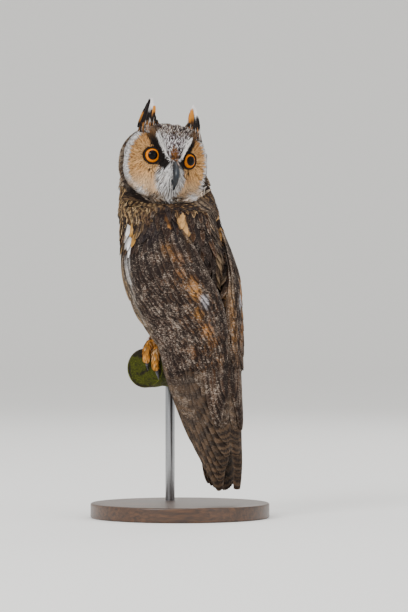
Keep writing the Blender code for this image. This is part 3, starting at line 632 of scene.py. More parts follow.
class Skin:
    """The finished skin, to follow with feathers."""

    def __init__(self, item):
        work = bmesh.new()
        work.from_mesh(item.data)
        bmesh.ops.triangulate(work, faces=work.faces)
        self.tree = BVHTree.FromBMesh(work)
        self.corners = np.array([[corner.co for corner in face.verts] for face in work.faces])
        work.free()
        edge_a = self.corners[:, 1] - self.corners[:, 0]
        edge_b = self.corners[:, 2] - self.corners[:, 0]
        self.areas = np.linalg.norm(np.cross(edge_a, edge_b), axis=1) / 2
        self.middles = self.corners.mean(axis=1)

    def nearest(self, points):
        """The nearest points on the skin, and the way the skin faces there."""
        found = [self.tree.find_nearest(point)[:2] for point in points.tolist()]
        return np.array([place for place, _ in found]), np.array([facing for _, facing in found])

    def scatter(self, wanted, spacing, draw, squash=1.0):
        """Points on the wanted triangles, spaced apart sideways, and by that over squash up and down."""
        chosen = np.nonzero(wanted)[0]
        share = self.areas[chosen] / spacing[chosen] ** 2
        count = int(share.sum() * 3.2 * squash)
        picked = draw.choice(chosen, size=count, p=share / share.sum())
        a, b = draw.random((2, count))
        flip = a + b > 1
        a, b = np.where(flip, 1 - a, a), np.where(flip, 1 - b, b)
        corners = self.corners[picked]
        first = corners[:, 0]
        points = first + a[:, None] * (corners[:, 1] - first) + b[:, None] * (corners[:, 2] - first)
        reach = spacing[picked] * 0.80
        cell = float(reach.max())
        filled, kept = {}, []
        squashed = points * (1, 1, squash)
        keys = np.floor(squashed / cell).astype(int)
        around = [(i, j, k) for i in (-1, 0, 1) for j in (-1, 0, 1) for k in (-1, 0, 1)]
        rows = squashed.tolist()
        limits = (reach**2).tolist()
        for index, (x, y, z) in enumerate(rows):
            i, j, k = keys[index]
            limit = limits[index]
            free = True
            for di, dj, dk in around:
                for other in filled.get((i + di, j + dj, k + dk), ()):
                    ox, oy, oz = rows[other]
                    if (ox - x) ** 2 + (oy - y) ** 2 + (oz - z) ** 2 < limit:
                        free = False
                        break
                if not free:
                    break
            if free:
                filled.setdefault((i, j, k), []).append(index)
                kept.append(index)
        return points[kept]

    def lay(self, roots, lie, length, half, low, high, shape, columns, draw, curl=0.0, cup=0.25, sway=0.16):
        """Vanes from their roots along the lie of the coat, which rise from low to high off the skin."""
        count = len(roots)
        length, half, low, high, curl = [
            np.broadcast_to(value, (count,)) for value in (length, half, low, high, curl)
        ]
        place, facing = self.nearest(roots)
        turn = draw.normal(0, sway, count)
        rows, ways, normals = [], [], []
        before = 0.0
        for share, _ in shape:
            step = (share - before) * length
            if share > 0:
                place, facing = self.nearest(place + way * step[:, None])
            way = lie(place, facing)
            way -= facing * np.sum(way * facing, axis=1, keepdims=True)
            way = unit(way, 1e-6)
            other = np.cross(facing, way)
            way = way * np.cos(turn)[:, None] + other * np.sin(turn)[:, None]
            rows.append(place)
            ways.append(way)
            normals.append(facing)
            before = share
        place, way, facing = (np.stack(values, axis=1) for values in (rows, ways, normals))
        facing = unit((facing + facing.mean(axis=1, keepdims=True)) / 2)
        shares = np.array([share for share, _ in shape])[None, :]
        widths = np.array([wide for _, wide in shape])[None, :] * half[:, None]
        rise = low[:, None] + (high - low)[:, None] * shares + curl[:, None] * shares**3
        across = np.cross(way, facing)
        lean = draw.normal(0, 0.10, count)[:, None]
        grid = []
        for side in np.linspace(-1, 1, columns):
            drop = -cup * widths * side * side + lean * widths * side
            back = -0.35 * widths * side * side * shares**2
            point = place + facing * (rise + drop)[..., None] + across * (widths * side)[..., None]
            grid.append(point + way * back[..., None])
        return np.stack(grid, axis=2)


def vane_grid(
    surface, start, finish, half, lifts, shape=FLIGHT_SHAPE, columns=5, tilt=0.0, bow=0.0, cup=0.10
):
    """One long feather on a sheet, from start to finish in the sheet's coordinates, as a grid of points."""
    shares = np.array([share for share, _ in shape])
    wide = np.array([value for _, value in shape]) * half
    u = start[0] + (finish[0] - start[0]) * shares + bow * np.sin(shares * math.pi)
    v = start[1] + (finish[1] - start[1]) * shares
    lift = lifts[0] + (lifts[1] - lifts[0]) * shares * (2 - shares)
    line = surface(u, v, lift)
    step = 0.01
    across = surface(u + step, v, lift) - surface(u - step, v, lift)
    way = unit(np.gradient(line, axis=0))
    across -= way * np.sum(across * way, axis=1, keepdims=True)
    across = unit(across)
    out = unit(surface(u, v, lift + 0.001) - line)
    grid = []
    for side in np.linspace(-1, 1, columns):
        raised = -cup * wide * side * side - tilt * side
        back = -0.45 * wide * side * side * shares**4
        point = line + across * (wide * side)[:, None] + out * raised[:, None] + way * back[:, None]
        grid.append(point)
    grid = np.stack(grid, axis=1)
    facing = np.sum(np.cross(across, way) * out)
    return grid if facing > 0 else grid[:, ::-1]


def add_node(tree, kind, inputs=(), out=0, **settings):
    """Adds a node, or takes one that is there, with its settings and links, and gives one of its outputs.

    inputs: values or other nodes' outputs, in order or by name.
    """
    made = tree.nodes.new("ShaderNode" + kind) if isinstance(kind, str) else kind
    for key, value in settings.items():
        setattr(made, key, value)
    for key, value in inputs.items() if isinstance(inputs, dict) else enumerate(inputs):
        socket = made.inputs[key]
        if isinstance(value, bpy.types.NodeSocket):
            tree.links.new(value, socket)
        else:
            socket.default_value = (*value, 1.0) if socket.type == "RGBA" else value
    return made.outputs[out]


def new_material(name, **settings):
    """A material with constants on its shader. Gives it, the shader, what adds its nodes, and the place."""
    made = bpy.data.materials.new(name)
    made.use_nodes = True
    tree = made.node_tree
    shader = tree.nodes["Principled BSDF"]
    for key, value in settings.items():
        shader.inputs[key.replace("_", " ")].default_value = value
    add = partial(add_node, tree)
    return made, shader, add, add("TexCoord", out="Object")


def plumage_material(colours, name, fleck_size):
    """Owl plumage: soft matt vanes, each with a shaft streak, pale vermiculation or bars on its own map,
    and painted shade darkening it towards its root.

    The real vermiculation is finer than half a millimetre; here it is about three times as coarse, so that
    it shows.
    """
    made, shader, add, place = new_material(name, Roughness=0.85, Specular_IOR_Level=0.12)
    tone = add("Attribute", out="Color", attribute_name="tone")
    mark = add("Attribute", out="Color", attribute_name="mark")
    marks = add("SeparateColor", (mark,)).node.outputs
    vane = add("SeparateXYZ", (add("UVMap", uv_map="vane"),)).node.outputs
    side = add("Math", (vane["X"], 0.5), operation="SUBTRACT")
    side = add("Math", (side,), operation="ABSOLUTE")
    side = add("Math", (side, 2.0), operation="MULTIPLY")
    ragged = add("TexNoise", {"Vector": place, "Scale": 600.0})
    frayed = add("Math", (side, add("MapRange", (ragged, 0.3, 0.7, -0.22, 0.22))), operation="ADD")
    shaft = add("MapRange", (frayed, 0.34, 0.60, 1.0, 0.0))
    shaft = add("Math", (shaft, marks["Red"]), operation="MULTIPLY")
    shaft = add("Math", (shaft, add("MapRange", (vane["Y"], 0.86, 1.0, 1.0, 0.35))), operation="MULTIPLY")
    stretched = add("Mapping", {"Vector": place, "Scale": (0.72, 0.72, 1.35)})
    flecks = add(
        "TexNoise",
        {"Vector": stretched, "Scale": 1 / fleck_size, "Detail": 3.0, "Roughness": 0.62, "Distortion": 1.2},
    )
    clouds = add(
        "TexNoise", {"Vector": place, "Scale": 95.0, "Detail": 4.0, "Roughness": 0.62, "Distortion": 0.6}
    )
    flecks = add("Math", (flecks, add("MapRange", (clouds, 0.36, 0.64, -0.08, 0.06))), operation="ADD")
    flecks = add("Math", (add("MapRange", (flecks, 0.53, 0.62)), marks["Green"]), operation="MULTIPLY")
    flecks = add("Math", (flecks, add("MapRange", (shaft, 0.0, 1.0, 1.0, 0.15))), operation="MULTIPLY")
    wavy = add("Math", (vane["Y"], add("MapRange", (ragged, 0.3, 0.7, -0.02, 0.02))), operation="ADD")
    bars = add("Math", (wavy, 62.0), operation="MULTIPLY")
    bars = add("Math", (bars,), operation="SINE")
    bars = add("Math", (add("MapRange", (bars, -0.45, 0.15)), marks["Blue"]), operation="MULTIPLY")
    # Painted shade: each vane darkens towards its root, where it lies under the vanes above it.
    root = add("MapRange", (vane["Y"], 0.0, 0.65, 0.75, 0.0))
    shade = add("MapRange", (clouds, 0.56, 0.40, 0.0, 0.62))
    shade = add("Math", (shade, marks["Green"]), operation="MULTIPLY")
    edge = add("MapRange", (side, 0.60, 1.0, 0.0, 0.07))
    base = tone
    for share in (root, shade, shaft, bars):
        base = add("Mix", {0: share, 6: base, 7: colours.streak}, 2, data_type="RGBA")
    for share in (flecks, edge):
        base = add("Mix", {0: share, 6: base, 7: colours.fleck}, 2, data_type="RGBA")
    barbs = add("Math", (vane["Y"], 190.0), operation="MULTIPLY")
    slant = add("Math", (side, 14.0), operation="MULTIPLY")
    barbs = add("Math", (barbs, slant), operation="ADD")
    barbs = add("Math", (barbs,), operation="SINE")
    relief = add("Bump", {"Height": barbs, "Distance": 0.00012, "Strength": 0.5})
    add(shader, {"Base Color": base, "Normal": relief})
    return made


def down_material(colours):
    """Downy skin: the short soft feathering under the vanes, which carries their colours between them,
    darkened as painted shade.
    """
    made, shader, add, place = new_material("downy skin", Roughness=0.9, Specular_IOR_Level=0.10)
    tone = add("Attribute", out="Color", attribute_name="tone")
    stretched = add("Mapping", {"Vector": place, "Scale": (1.0, 1.0, 0.4)})
    tufts = add("TexNoise", {"Vector": stretched, "Scale": 420.0, "Detail": 3.0, "Roughness": 0.6})
    share = add("MapRange", (tufts, 0.42, 0.62, 0.0, 0.65))
    base = add("Mix", {0: share, 6: tone, 7: colours.streak}, 2, data_type="RGBA")
    add(shader, {"Base Color": base, "Normal": add("Bump", {"Height": tufts, "Distance": 0.0008})})
    return made


def eye_material(colours, name, side):
    """A wet eye: a vivid orange iris with fine rays round a black pupil, and a black rim under the lids."""
    made, shader, add, place = new_material(name, Roughness=0.07, IOR=1.36, Specular_IOR_Level=0.20)
    gaze = Vector(eye_gaze(side))
    turn = gaze.to_track_quat("Z", "Y").to_matrix().inverted()
    centre = turn @ Vector(eye_centre(side))
    local = add("Mapping", {"Vector": place, "Rotation": turn.to_euler(), "Location": -centre})
    parts = add("SeparateXYZ", (local,)).node.outputs
    flat = add("CombineXYZ", {"X": parts["X"], "Y": parts["Y"]})
    reach = add("VectorMath", (flat,), out="Value", operation="LENGTH")
    angle = add("Math", (parts["Y"], parts["X"]), operation="ARCTAN2")
    out = add("Math", (reach, 60.0), operation="MULTIPLY")
    ray_place = add("CombineXYZ", {"X": angle, "Y": out})
    rays = add("TexNoise", {"Vector": ray_place, "Scale": 9.0, "Detail": 3.0, "Roughness": 0.6})
    base = colours.iris
    for share, colour in (
        ((rays, 0.35, 0.65), colours.iris_deep),
        ((reach, PUPIL_RADIUS + 0.0002, PUPIL_RADIUS + 0.0010, 0.55, 0.0), colours.iris_deep),
        ((reach, IRIS_RADIUS, IRIS_RADIUS + 0.0006), linear("#1A0C06")),
        ((reach, PUPIL_RADIUS + 0.0003, PUPIL_RADIUS), linear("#030304")),
    ):
        share = add("MapRange", share)
        base = add("Mix", {0: share, 6: base, 7: colour}, 2, data_type="RGBA")
    add(shader, {"Base Color": base})
    return made


def horn_material(name, dark, pale, rough):
    """Bill and claw horn: dark blue-grey keratin, smooth, with faint growth lines and paler clouds."""
    made, shader, add, place = new_material(
        name, Roughness=rough, Specular_IOR_Level=0.35, Coat_Weight=0.10, Coat_Roughness=0.2
    )
    clouds = add("TexNoise", {"Vector": place, "Scale": 260.0, "Detail": 3.0})
    lines = add("Mapping", {"Vector": place, "Scale": (1.0, 1.0, 4.0)})
    growth = add("TexNoise", {"Vector": lines, "Scale": 500.0})
    share = add("MapRange", (clouds, 0.45, 0.68))
    base = add("Mix", {0: share, 6: linear(dark), 7: linear(pale)}, 2, data_type="RGBA")
    relief = add("Bump", {"Height": growth, "Distance": 0.0002, "Strength": 0.6})
    add(shader, {"Base Color": base, "Normal": relief})
    return made


def lid_material():
    """Bare lids: thin black skin, finely creased."""
    made, shader, add, place = new_material("lid skin", Roughness=0.6, Specular_IOR_Level=0.12)
    creases = add("TexNoise", {"Vector": place, "Scale": 1500.0})
    base = add("Mix", {0: creases, 6: linear("#0C0A0A"), 7: linear("#221B1A")}, 2, data_type="RGBA")
    add(shader, {"Base Color": base, "Normal": add("Bump", {"Height": creases, "Distance": 0.0002})})
    return made


def bark_material(colours):
    """Branch bark: grey-brown furrows, darker above, with olive moss in patches on the flank."""
    made, shader, add, place = new_material("mossy bark", Roughness=0.92, Specular_IOR_Level=0.2)
    turn = (0.0, 0.0, -PERCH_TURN)
    along = add("Mapping", {"Vector": place, "Rotation": turn, "Scale": (1.0, 0.35, 1.0)})
    furrows = add(
        "TexNoise", {"Vector": along, "Scale": 330.0, "Detail": 5.0, "Roughness": 0.65, "Distortion": 0.6}
    )
    patches = add(
        "TexNoise", {"Vector": place, "Scale": 75.0, "Detail": 3.0, "Roughness": 0.6, "Distortion": 0.4}
    )
    tufts = add("TexNoise", {"Vector": place, "Scale": 900.0, "Detail": 3.0, "Roughness": 0.7})
    share = add("MapRange", (furrows, 0.35, 0.65))
    wood = add("Mix", {0: share, 6: colours.bark, 7: linear("#4E4334")}, 2, data_type="RGBA")
    height = add("SeparateXYZ", (place,), out="Z")
    top = TAIL_TIP_Z + PERCH_HEIGHT
    flank = add("MapRange", (height, top + 0.016, top - 0.004))
    moss_share = add("Math", (add("MapRange", (patches, 0.38, 0.56)), flank), operation="MULTIPLY")
    share = add("MapRange", (tufts, 0.35, 0.65))
    moss = add("Mix", {0: share, 6: colours.moss, 7: linear("#1C1E0A")}, 2, data_type="RGBA")
    base = add("Mix", {0: moss_share, 6: wood, 7: moss}, 2, data_type="RGBA")
    height_map = add("Math", (furrows, add("Math", (tufts, 0.4), operation="MULTIPLY")), operation="ADD")
    add(shader, {"Base Color": base, "Normal": add("Bump", {"Height": height_map, "Distance": 0.0016})})
    return made


def cut_material():
    """Old broken end of the branch: dark wood almost hidden by moss, darkest at top, with painted shade on
    its lower rim.
    """
    made, shader, add, place = new_material("end grain", Roughness=0.92, Specular_IOR_Level=0.2)
    local = add("Mapping", {"Vector": place, "Location": -perch_point(0.0, 0.0, 0.0)})
    parts = add("SeparateXYZ", (local,)).node.outputs
    reach = add("VectorMath", (local,), out="Value", operation="LENGTH")
    patches = add(
        "TexNoise", {"Vector": place, "Scale": 130.0, "Detail": 4.0, "Roughness": 0.65, "Distortion": 0.5}
    )
    tufts = add("TexNoise", {"Vector": place, "Scale": 1100.0, "Detail": 3.0, "Roughness": 0.7})
    share = add("MapRange", (tufts, 0.35, 0.65))
    moss = add("Mix", {0: share, 6: linear("#4E5212"), 7: linear("#1B1D08")}, 2, data_type="RGBA")
    bare_wood_and_shade = add("Mix", {0: share, 6: linear("#0D0B08"), 7: linear("#2C2718")}, 2, data_type="RGBA")
    rim = add("MapRange", (reach, PERCH_RADIUS - 0.0045, PERCH_RADIUS - 0.0012))
    # Painted shade: the rim darkens on its lower side, where the rounded end turns under.
    low = add("MapRange", (add("Math", (parts["X"], parts["Z"]), operation="ADD"), 0.004, -0.012))
    top = add("MapRange", (parts["Z"], 0.0075, 0.0125))
    share = add("Math", (top, add("Math", (rim, low), operation="MULTIPLY")), operation="MAXIMUM")
    share = add("Math", (share, add("MapRange", (patches, 0.38, 0.60, 0.70, -0.45))), operation="ADD")
    base = add("Mix", {0: add("MapRange", (share, 0.25, 0.65)), 6: moss, 7: bare_wood_and_shade}, 2, data_type="RGBA")
    raised = add("Math", (tufts, 0.5), operation="MULTIPLY")
    raised = add("Math", (patches, raised), operation="ADD")
    add(shader, {"Base Color": base, "Normal": add("Bump", {"Height": raised, "Distance": 0.0018})})
    return made


def wood_material(colours):
    """Stained oak base: long grain with open pores under a satin varnish."""
    made, shader, add, place = new_material(
        "stained oak", Roughness=0.42, Coat_Weight=0.3, Coat_Roughness=0.25
    )
    grain_place = add("Mapping", {"Vector": place, "Scale": (0.08, 1.0, 1.0)})
    grain = add(
        "TexNoise",
        {"Vector": grain_place, "Scale": 380.0, "Detail": 5.0, "Roughness": 0.6, "Distortion": 0.5},
    )
    figure = add("TexNoise", {"Vector": grain_place, "Scale": 60.0, "Detail": 3.0, "Distortion": 1.2})
    light, deep = colours.wood, linear("#2A1A10")
    base = add("Mix", {0: add("MapRange", (grain, 0.35, 0.68)), 6: light, 7: deep}, 2, data_type="RGBA")
    share = add("MapRange", (figure, 0.4, 0.65, 0.0, 0.45))
    base = add("Mix", {0: share, 6: base, 7: deep}, 2, data_type="RGBA")
    relief = add("Bump", {"Height": grain, "Distance": 0.0002, "Strength": 0.5})
    add(shader, {"Base Color": base, "Normal": relief})
    return made


def steel_material():
    """Brushed steel rod: fine rings left by the turning."""
    made, shader, add, place = new_material("brushed steel", Roughness=0.32, Metallic=1.0)
    turned = add("Mapping", {"Vector": place, "Scale": (0.05, 0.05, 1.0)})
    lines = add("TexNoise", {"Vector": turned, "Scale": 2500.0, "Detail": 3.0})
    base = add("Mix", {0: lines, 6: linear("#8E8F91"), 7: linear("#A9AAAC")}, 2, data_type="RGBA")
    relief = add("Bump", {"Height": lines, "Distance": 0.00005, "Strength": 0.4})
    add(shader, {"Base Color": base, "Normal": relief})
    return made


def floor_material():
    """Pale seamless studio paper, with the faint tooth of its surface."""
    made, shader, add, place = new_material("studio paper", Roughness=0.9)
    tooth = add("TexNoise", {"Vector": place, "Scale": 900.0})
    base = add("Mix", {0: tooth, 6: linear("#F2F1EE"), 7: linear("#F5F4F1")}, 2, data_type="RGBA")
    add(shader, {"Base Color": base})
    return made


# Marks on the plumage: side of the bird (0 for both), degrees round from the breast, height, reach in
# degrees, reach in height, colour, strength.
SPOTS = (
    (0, 77, 0.236, 5, 0.009, "#E4E0DC", 1.0),
    (0, 75, 0.218, 5, 0.012, "#EFEDEC", 1.0),
    (0, 74, 0.202, 4, 0.009, "#DCD8D6", 0.9),
    (0, 73, 0.178, 3, 0.022, "#A39A90", 0.8),
    (0, 84, 0.238, 5, 0.008, "#C79348", 0.8),
    (0, 149, 0.249, 5, 0.010, "#D6A66B", 1.0),
    (0, 147, 0.238, 3, 0.006, "#CF9C5E", 0.8),
    (0, 130, 0.250, 3, 0.008, "#BE8346", 0.8),
    (0, 125, 0.231, 8, 0.005, "#C08543", 0.8),
    (0, 135, 0.219, 6, 0.004, "#B97B3F", 0.8),
    (0, 134, 0.206, 5, 0.004, "#9E6B3C", 0.7),
    (0, 144, 0.196, 5, 0.005, "#BA7C35", 0.8),
    (0, 146, 0.186, 5, 0.006, "#C98A3C", 0.9),
    (0, 153, 0.179, 4, 0.006, "#DEDBE2", 1.0),
    (0, 145, 0.167, 5, 0.004, "#C88836", 0.8),
    (0, 151, 0.152, 6, 0.005, "#C07D33", 0.8),
    (0, 155, 0.141, 6, 0.004, "#A8713A", 0.6),
    (0, 164, 0.124, 5, 0.005, "#9C6F45", 0.5),
    (0, 131, 0.131, 4, 0.005, "#97653A", 0.5),
    (-1, 170, 0.205, 5, 0.030, "#A98C6A", 0.6),
    (-1, 171, 0.160, 4, 0.030, "#B5824C", 0.7),
    (0, 110, 0.237, 15, 0.010, "#1E191D", 0.8),
    (0, 128, 0.258, 12, 0.007, "#231C1E", 0.7),
    (0, 140, 0.240, 6, 0.014, "#1D181C", 0.8),
    (0, 162, 0.215, 8, 0.030, "#26201F", 0.6),
)


def pick(chance, *steps):
    """A colour for each chance: that of the first step with a limit above it, or else the last one."""
    *limited, rest = steps
    found = linear(rest)
    for limit, code in reversed(limited):
        found = np.where(chance < limit, linear(code), found)
    return found


def lift_out(base, colour, share):
    """The base drawn towards a colour by a share for each point."""
    return base + (colour - base) * np.clip(share, 0, 1)[:, None]


def body_marks(points, draw, colours):
    """The colour and the marks, as shaft, fleck and bar, of body and wing plumage at each point."""
    forward, left, height = to_body(points)
    middle, depth, width = envelope_at(height)
    angle = np.degrees(np.arctan2(left / width, (forward - middle) / depth))
    side = np.where(angle < 0, -1, 1)
    angle = np.abs(angle)
    count = len(points)
    chance = draw.random((count, 1))
    dark, brown, buff = np.array(colours.dark), np.array(colours.brown), np.array(colours.buff)
    back = (dark + (brown - dark) * chance**1.8) * (1 - 0.72 * blend(0.085, 0.045, height))[:, None]
    warm = (chance[:, 0] > 0.80) * hump(angle, 146, 26) * blend(0.080, 0.120, height)
    back = lift_out(back, linear("#80552D"), 0.75 * warm)
    pale = buff + (linear("#D2B487") - buff) * draw.random((count, 1))
    behind = blend(112, 128, angle)[:, None]
    pale = np.where(chance < 0.50 + 0.35 * behind, linear("#74553A"), pale)
    pale = np.where(chance < 0.28 + 0.30 * behind, linear("#2E221C"), pale)
    nape = blend(0.246, 0.270, height + 0.006 * draw.normal(size=count)) * (1 - 0.60 * hump(angle, 140, 30))
    breast = 1 - blend(60, 84, angle + 4 * draw.normal(size=count))
    breast = np.maximum(breast, (1 - blend(80, 112, angle)) * blend(0.225, 0.250, height))
    buffed = np.clip(np.maximum(nape, breast), 0, 1)
    tone = lift_out(back, pale, buffed)
    stripe = np.sin(
        np.radians(angle) * 38 + 1.3 * np.sin(height * 190) + 0.8 * np.sin(height * 470 + angle * 0.2)
    )
    right = blend(0.225, 0.262, height) * blend(150, 165, angle) * (side < 0)
    tone = lift_out(tone, linear("#8D7B69") * (0.6 + 0.8 * chance), right * 0.7)
    tone = lift_out(tone, linear("#261C18"), 0.88 * blend(0.05, 0.65, stripe) * np.maximum(buffed, right))
    shaft = 0.70 + 0.30 * np.maximum(buffed, right)
    fleck = (1 - 0.85 * buffed) * (0.12 + 0.80 * draw.random(count) ** 1.4)
    fleck *= 0.20 + 0.80 * blend(0.040, 0.090, height)
    for where, degrees, tall, reach, rise, code, strength in SPOTS:
        near = np.exp(-(((angle - degrees) / reach) ** 2) - ((height - tall) / rise) ** 2)
        near = np.where((where == 0) | (side == where), blend(0.16, 0.45, near) * strength, 0.0)
        tone = lift_out(tone, linear(code), near)
        shaft = shaft * (1 - 0.9 * near)
        fleck = fleck * (1 - 0.8 * near)
    bar = (1 - blend(0.055, 0.085, height)) * 0.8
    return tone, np.stack((shaft, fleck, bar), axis=-1)


def near_line(side, up, start, finish):
    """How far a place on the face lies from a line between two places."""
    start, finish = np.array(start), np.array(finish)
    way = finish - start
    share = np.clip(((side - start[0]) * way[0] + (up - start[1]) * way[1]) / way.dot(way), 0, 1)
    return np.hypot(side - start[0] - share * way[0], up - start[1] - share * way[1])


def face_place(points):
    """Forward, sideways and up in the head's frame, and the share of the way to the rim."""
    forward, side, up = to_head(points)
    angle = np.arctan2(up - FACE_CENTRE_UP, side)
    along = np.hypot(side, up - FACE_CENTRE_UP) / face_rim(angle)
    along = np.where(forward < face_depth(side, up) - 0.007, np.maximum(along, 2.1 - along), along)
    return forward, side, up, along


# Half width of the white bristles beside the bill, by height on the face.
fan_reach_at = curve_through(
    (
        (0.004, 0.0075),
        (-0.002, 0.0100),
        (-0.008, 0.0138),
        (-0.015, 0.0158),
        (-0.024, 0.0140),
        (-0.032, 0.0085),
    )
)


def brow_share(across, up, soft):
    """The share of the white brow bar, broad above and narrow at the bill, with an edge as wide as soft."""
    gap = near_line(across, up, (0.0166, 0.0235), (0.0050, -0.0010))
    return blend(soft, -soft, gap - 0.0014 - 0.0010 * blend(0.0, 0.020, up))


def forehead_share(across, up):
    """The share of the speckled forehead, a V that narrows down to the bill."""
    return blend(0.0005, -0.0005, across - (0.0045 + 0.52 * np.maximum(up, 0))) * blend(-0.001, 0.003, up)


def bill_fan(across, up):
    """The share of white bristles beside the bill: a fan, widest under the inner corners of the eyes."""
    reach = fan_reach_at(up)[0]
    inside = 1 - blend(0.86, 1.10, across / reach)
    return inside * blend(0.004, -0.002, up) * blend(-0.037, -0.031, up)


def head_marks(points, draw, colours):
    """The colour and the marks of the plumage of the head and face at each point."""
    _, side, up, along = face_place(points)
    count = len(points)
    across = np.abs(side)
    lean = np.degrees(np.arctan2(up - FACE_CENTRE_UP, across))
    chance = draw.random((count, 1))
    unsure = draw.normal(size=count)
    around = np.hypot(across - EYE_SPREAD, up - EYE_UP)
    from_eye = np.arctan2(up - EYE_UP, across - EYE_SPREAD)
    rays = 0.5 + 0.5 * np.sin(from_eye * 23 + 2.5 * np.sin(from_eye * 7) + side * 90)
    disc, deep = np.array(colours.disc), np.array(colours.disc_deep)
    tan = disc + (deep - disc) * (0.75 * chance**3 + 0.42 * (rays * blend(0.30, 0.70, along))[:, None])
    tan = lift_out(tan, linear("#E9CFAE"), 0.55 * blend(-0.010, -0.026, up))
    tan = lift_out(tan, deep, 0.62 * blend(0.008, 0.026, up))
    speckle = pick(chance, (0.42, "#B3A596"), (0.72, "#3A2E29"), "#8A735D")
    bright = (0.48 - 0.24 * blend(0.017, 0.004, up))[:, None]
    grey = pick(chance, (bright, "#F1EDEE"), (0.76, "#2C2328"), "#94868A")
    mottle = pick(chance, (0.30, "#C2AE96"), (0.66, "#84684C"), "#332824")
    grey = lift_out(grey, mottle, 0.60 * blend(0.019, 0.030, up))
    white = np.array(colours.white) * (0.78 + 0.22 * draw.random((count, 1)))
    black = linear("#14100F")
    brown = linear("#5D432F")
    rust = linear("#96602F") * (0.45 + 0.55 * chance)
    top = blend(44, 68, lean + 3 * unsure)
    low = blend(-48, -66, lean + 3 * unsure)
    rim_band = blend(0.925, 0.955, along + 0.010 * unsure)
    rim_sides = rim_band * (1 - top) * blend(-40, -22, lean) * blend(62, 40, lean)
    corner = hump(lean, -48, 9) * blend(0.85, 0.93, along + 0.03 * unsure)
    inner = forehead_share(across, up)
    beside = brow_share(across, up, 0.0030) * inner * (1 - blend(1.0, 1.1, along))
    dusk = near_line(across, up, (0.0235, 0.0330), (0.0195, 0.0215))
    fan = bill_fan(across, up)
    bristle = white * np.where(chance > 0.34, 1.08, np.where(chance > 0.16, 0.50, 0.14))
    below_eye = blend(0.0062, 0.0040, np.hypot(across - 0.0168, (up + 0.0105) * 1.2))
    mask = near_line(across, up, (0.0200, 0.0215), (0.0125, 0.0090))
    mask = np.minimum(mask, near_line(across, up, (0.0125, 0.0090), (0.0092, -0.0036)))
    dark_share = blend(0.0060, 0.0038, mask + 0.0005 * unsure) * blend(0.030, 0.018, up)
    dark_share = np.maximum(dark_share, blend(0.0100, 0.0086, around))
    above_bill = blend(0.0050, 0.0032, np.hypot(across, (up - 0.0035) * 0.40))
    outside = blend(1.0, 1.05, along)
    nape = np.where(chance < 0.35, np.array(colours.buff), pick(chance, (0.65, "#7A5B3E"), "#33271F"))
    crown = lift_out(mottle, grey, top * (1 - blend(1.2, 1.6, along)))
    crown = lift_out(crown, nape, blend(1.35, 1.7, along) * (1 - top * 0.6))
    ruff = hump(along, 1.075, 0.055) * (lean < 62) * (0.85 + 0.15 * blend(-5, -30, lean))
    tone = tan
    chance = chance[:, 0]
    for colour, share in (
        (white, rim_sides),
        (speckle, blend(0.80, 0.92, along + 0.03 * unsure) * low),
        (speckle, blend(0.80, 0.92, along) * top),
        (white, corner * (1 - blend(1.0, 1.04, along))),
        (grey, inner * (1 - blend(1.0, 1.3, along))),
        (brown * 0.5, 0.90 * beside * (chance > 0.15)),
        (brown * 0.7, 0.75 * blend(0.0062, 0.0030, dusk + 0.0008 * unsure)),
        (bristle, fan),
        (speckle * 0.6, fan * (chance > 0.88) * blend(0.006, 0.011, across)),
        (linear("#3A2A22"), below_eye * (chance > 0.52)),
        (speckle * 0.8, blend(-0.030, -0.034, up) * blend(0.020, 0.012, across)),
        (white, hump(across, 0, 0.0028) * blend(-0.031, -0.034, up)),
        (black, dark_share),
        (np.array(colours.white), brow_share(across, up + 0.0006 * unsure, 0.0006)),
        (rust, above_bill * (chance < 0.85)),
        (crown, outside),
        (linear("#1F1716"), ruff * (chance < 0.93)),
    ):
        tone = lift_out(tone, colour, share)
    shaft = 0.60 * outside + 0.20 * rim_band * top
    fleck = 0.35 * outside * top + 0.10 * inner
    return tone, np.stack((shaft, fleck, 0 * shaft), axis=-1)


def is_head(points):
    """True where a point of the skin belongs to the head rather than the neck."""
    forward, side, up = to_head(points)
    reach = np.sqrt((forward / 0.060) ** 2 + (side / 0.050) ** 2 + ((up + 0.002) / 0.0435) ** 2)
    low_back = (forward < 0.0) & (up < -0.022)
    return (reach < 1.0) & ~low_back


def all_marks(points, draw, colours):
    tone, mark = body_marks(points, draw, colours)
    head_tone, head_mark = head_marks(points, draw, colours)
    on_head = is_head(points)[:, None]
    tone, mark = np.where(on_head, head_tone, tone), np.where(on_head, head_mark, mark)
    low_leg = on_leg(points)[:, None]
    leg = np.array(colours.leg) * (0.75 + 0.35 * draw.random((len(points), 1)))
    return np.where(low_leg, leg, tone), np.where(low_leg, 0.0, mark)


def on_leg(points):
    """True on the legs and feet, in front of the wings and below the belly."""
    forward, _, height = to_body(points)
    return (height < 0.160) & (forward > -0.004 - (height - 0.116) * 0.1) & (height > 0.085)


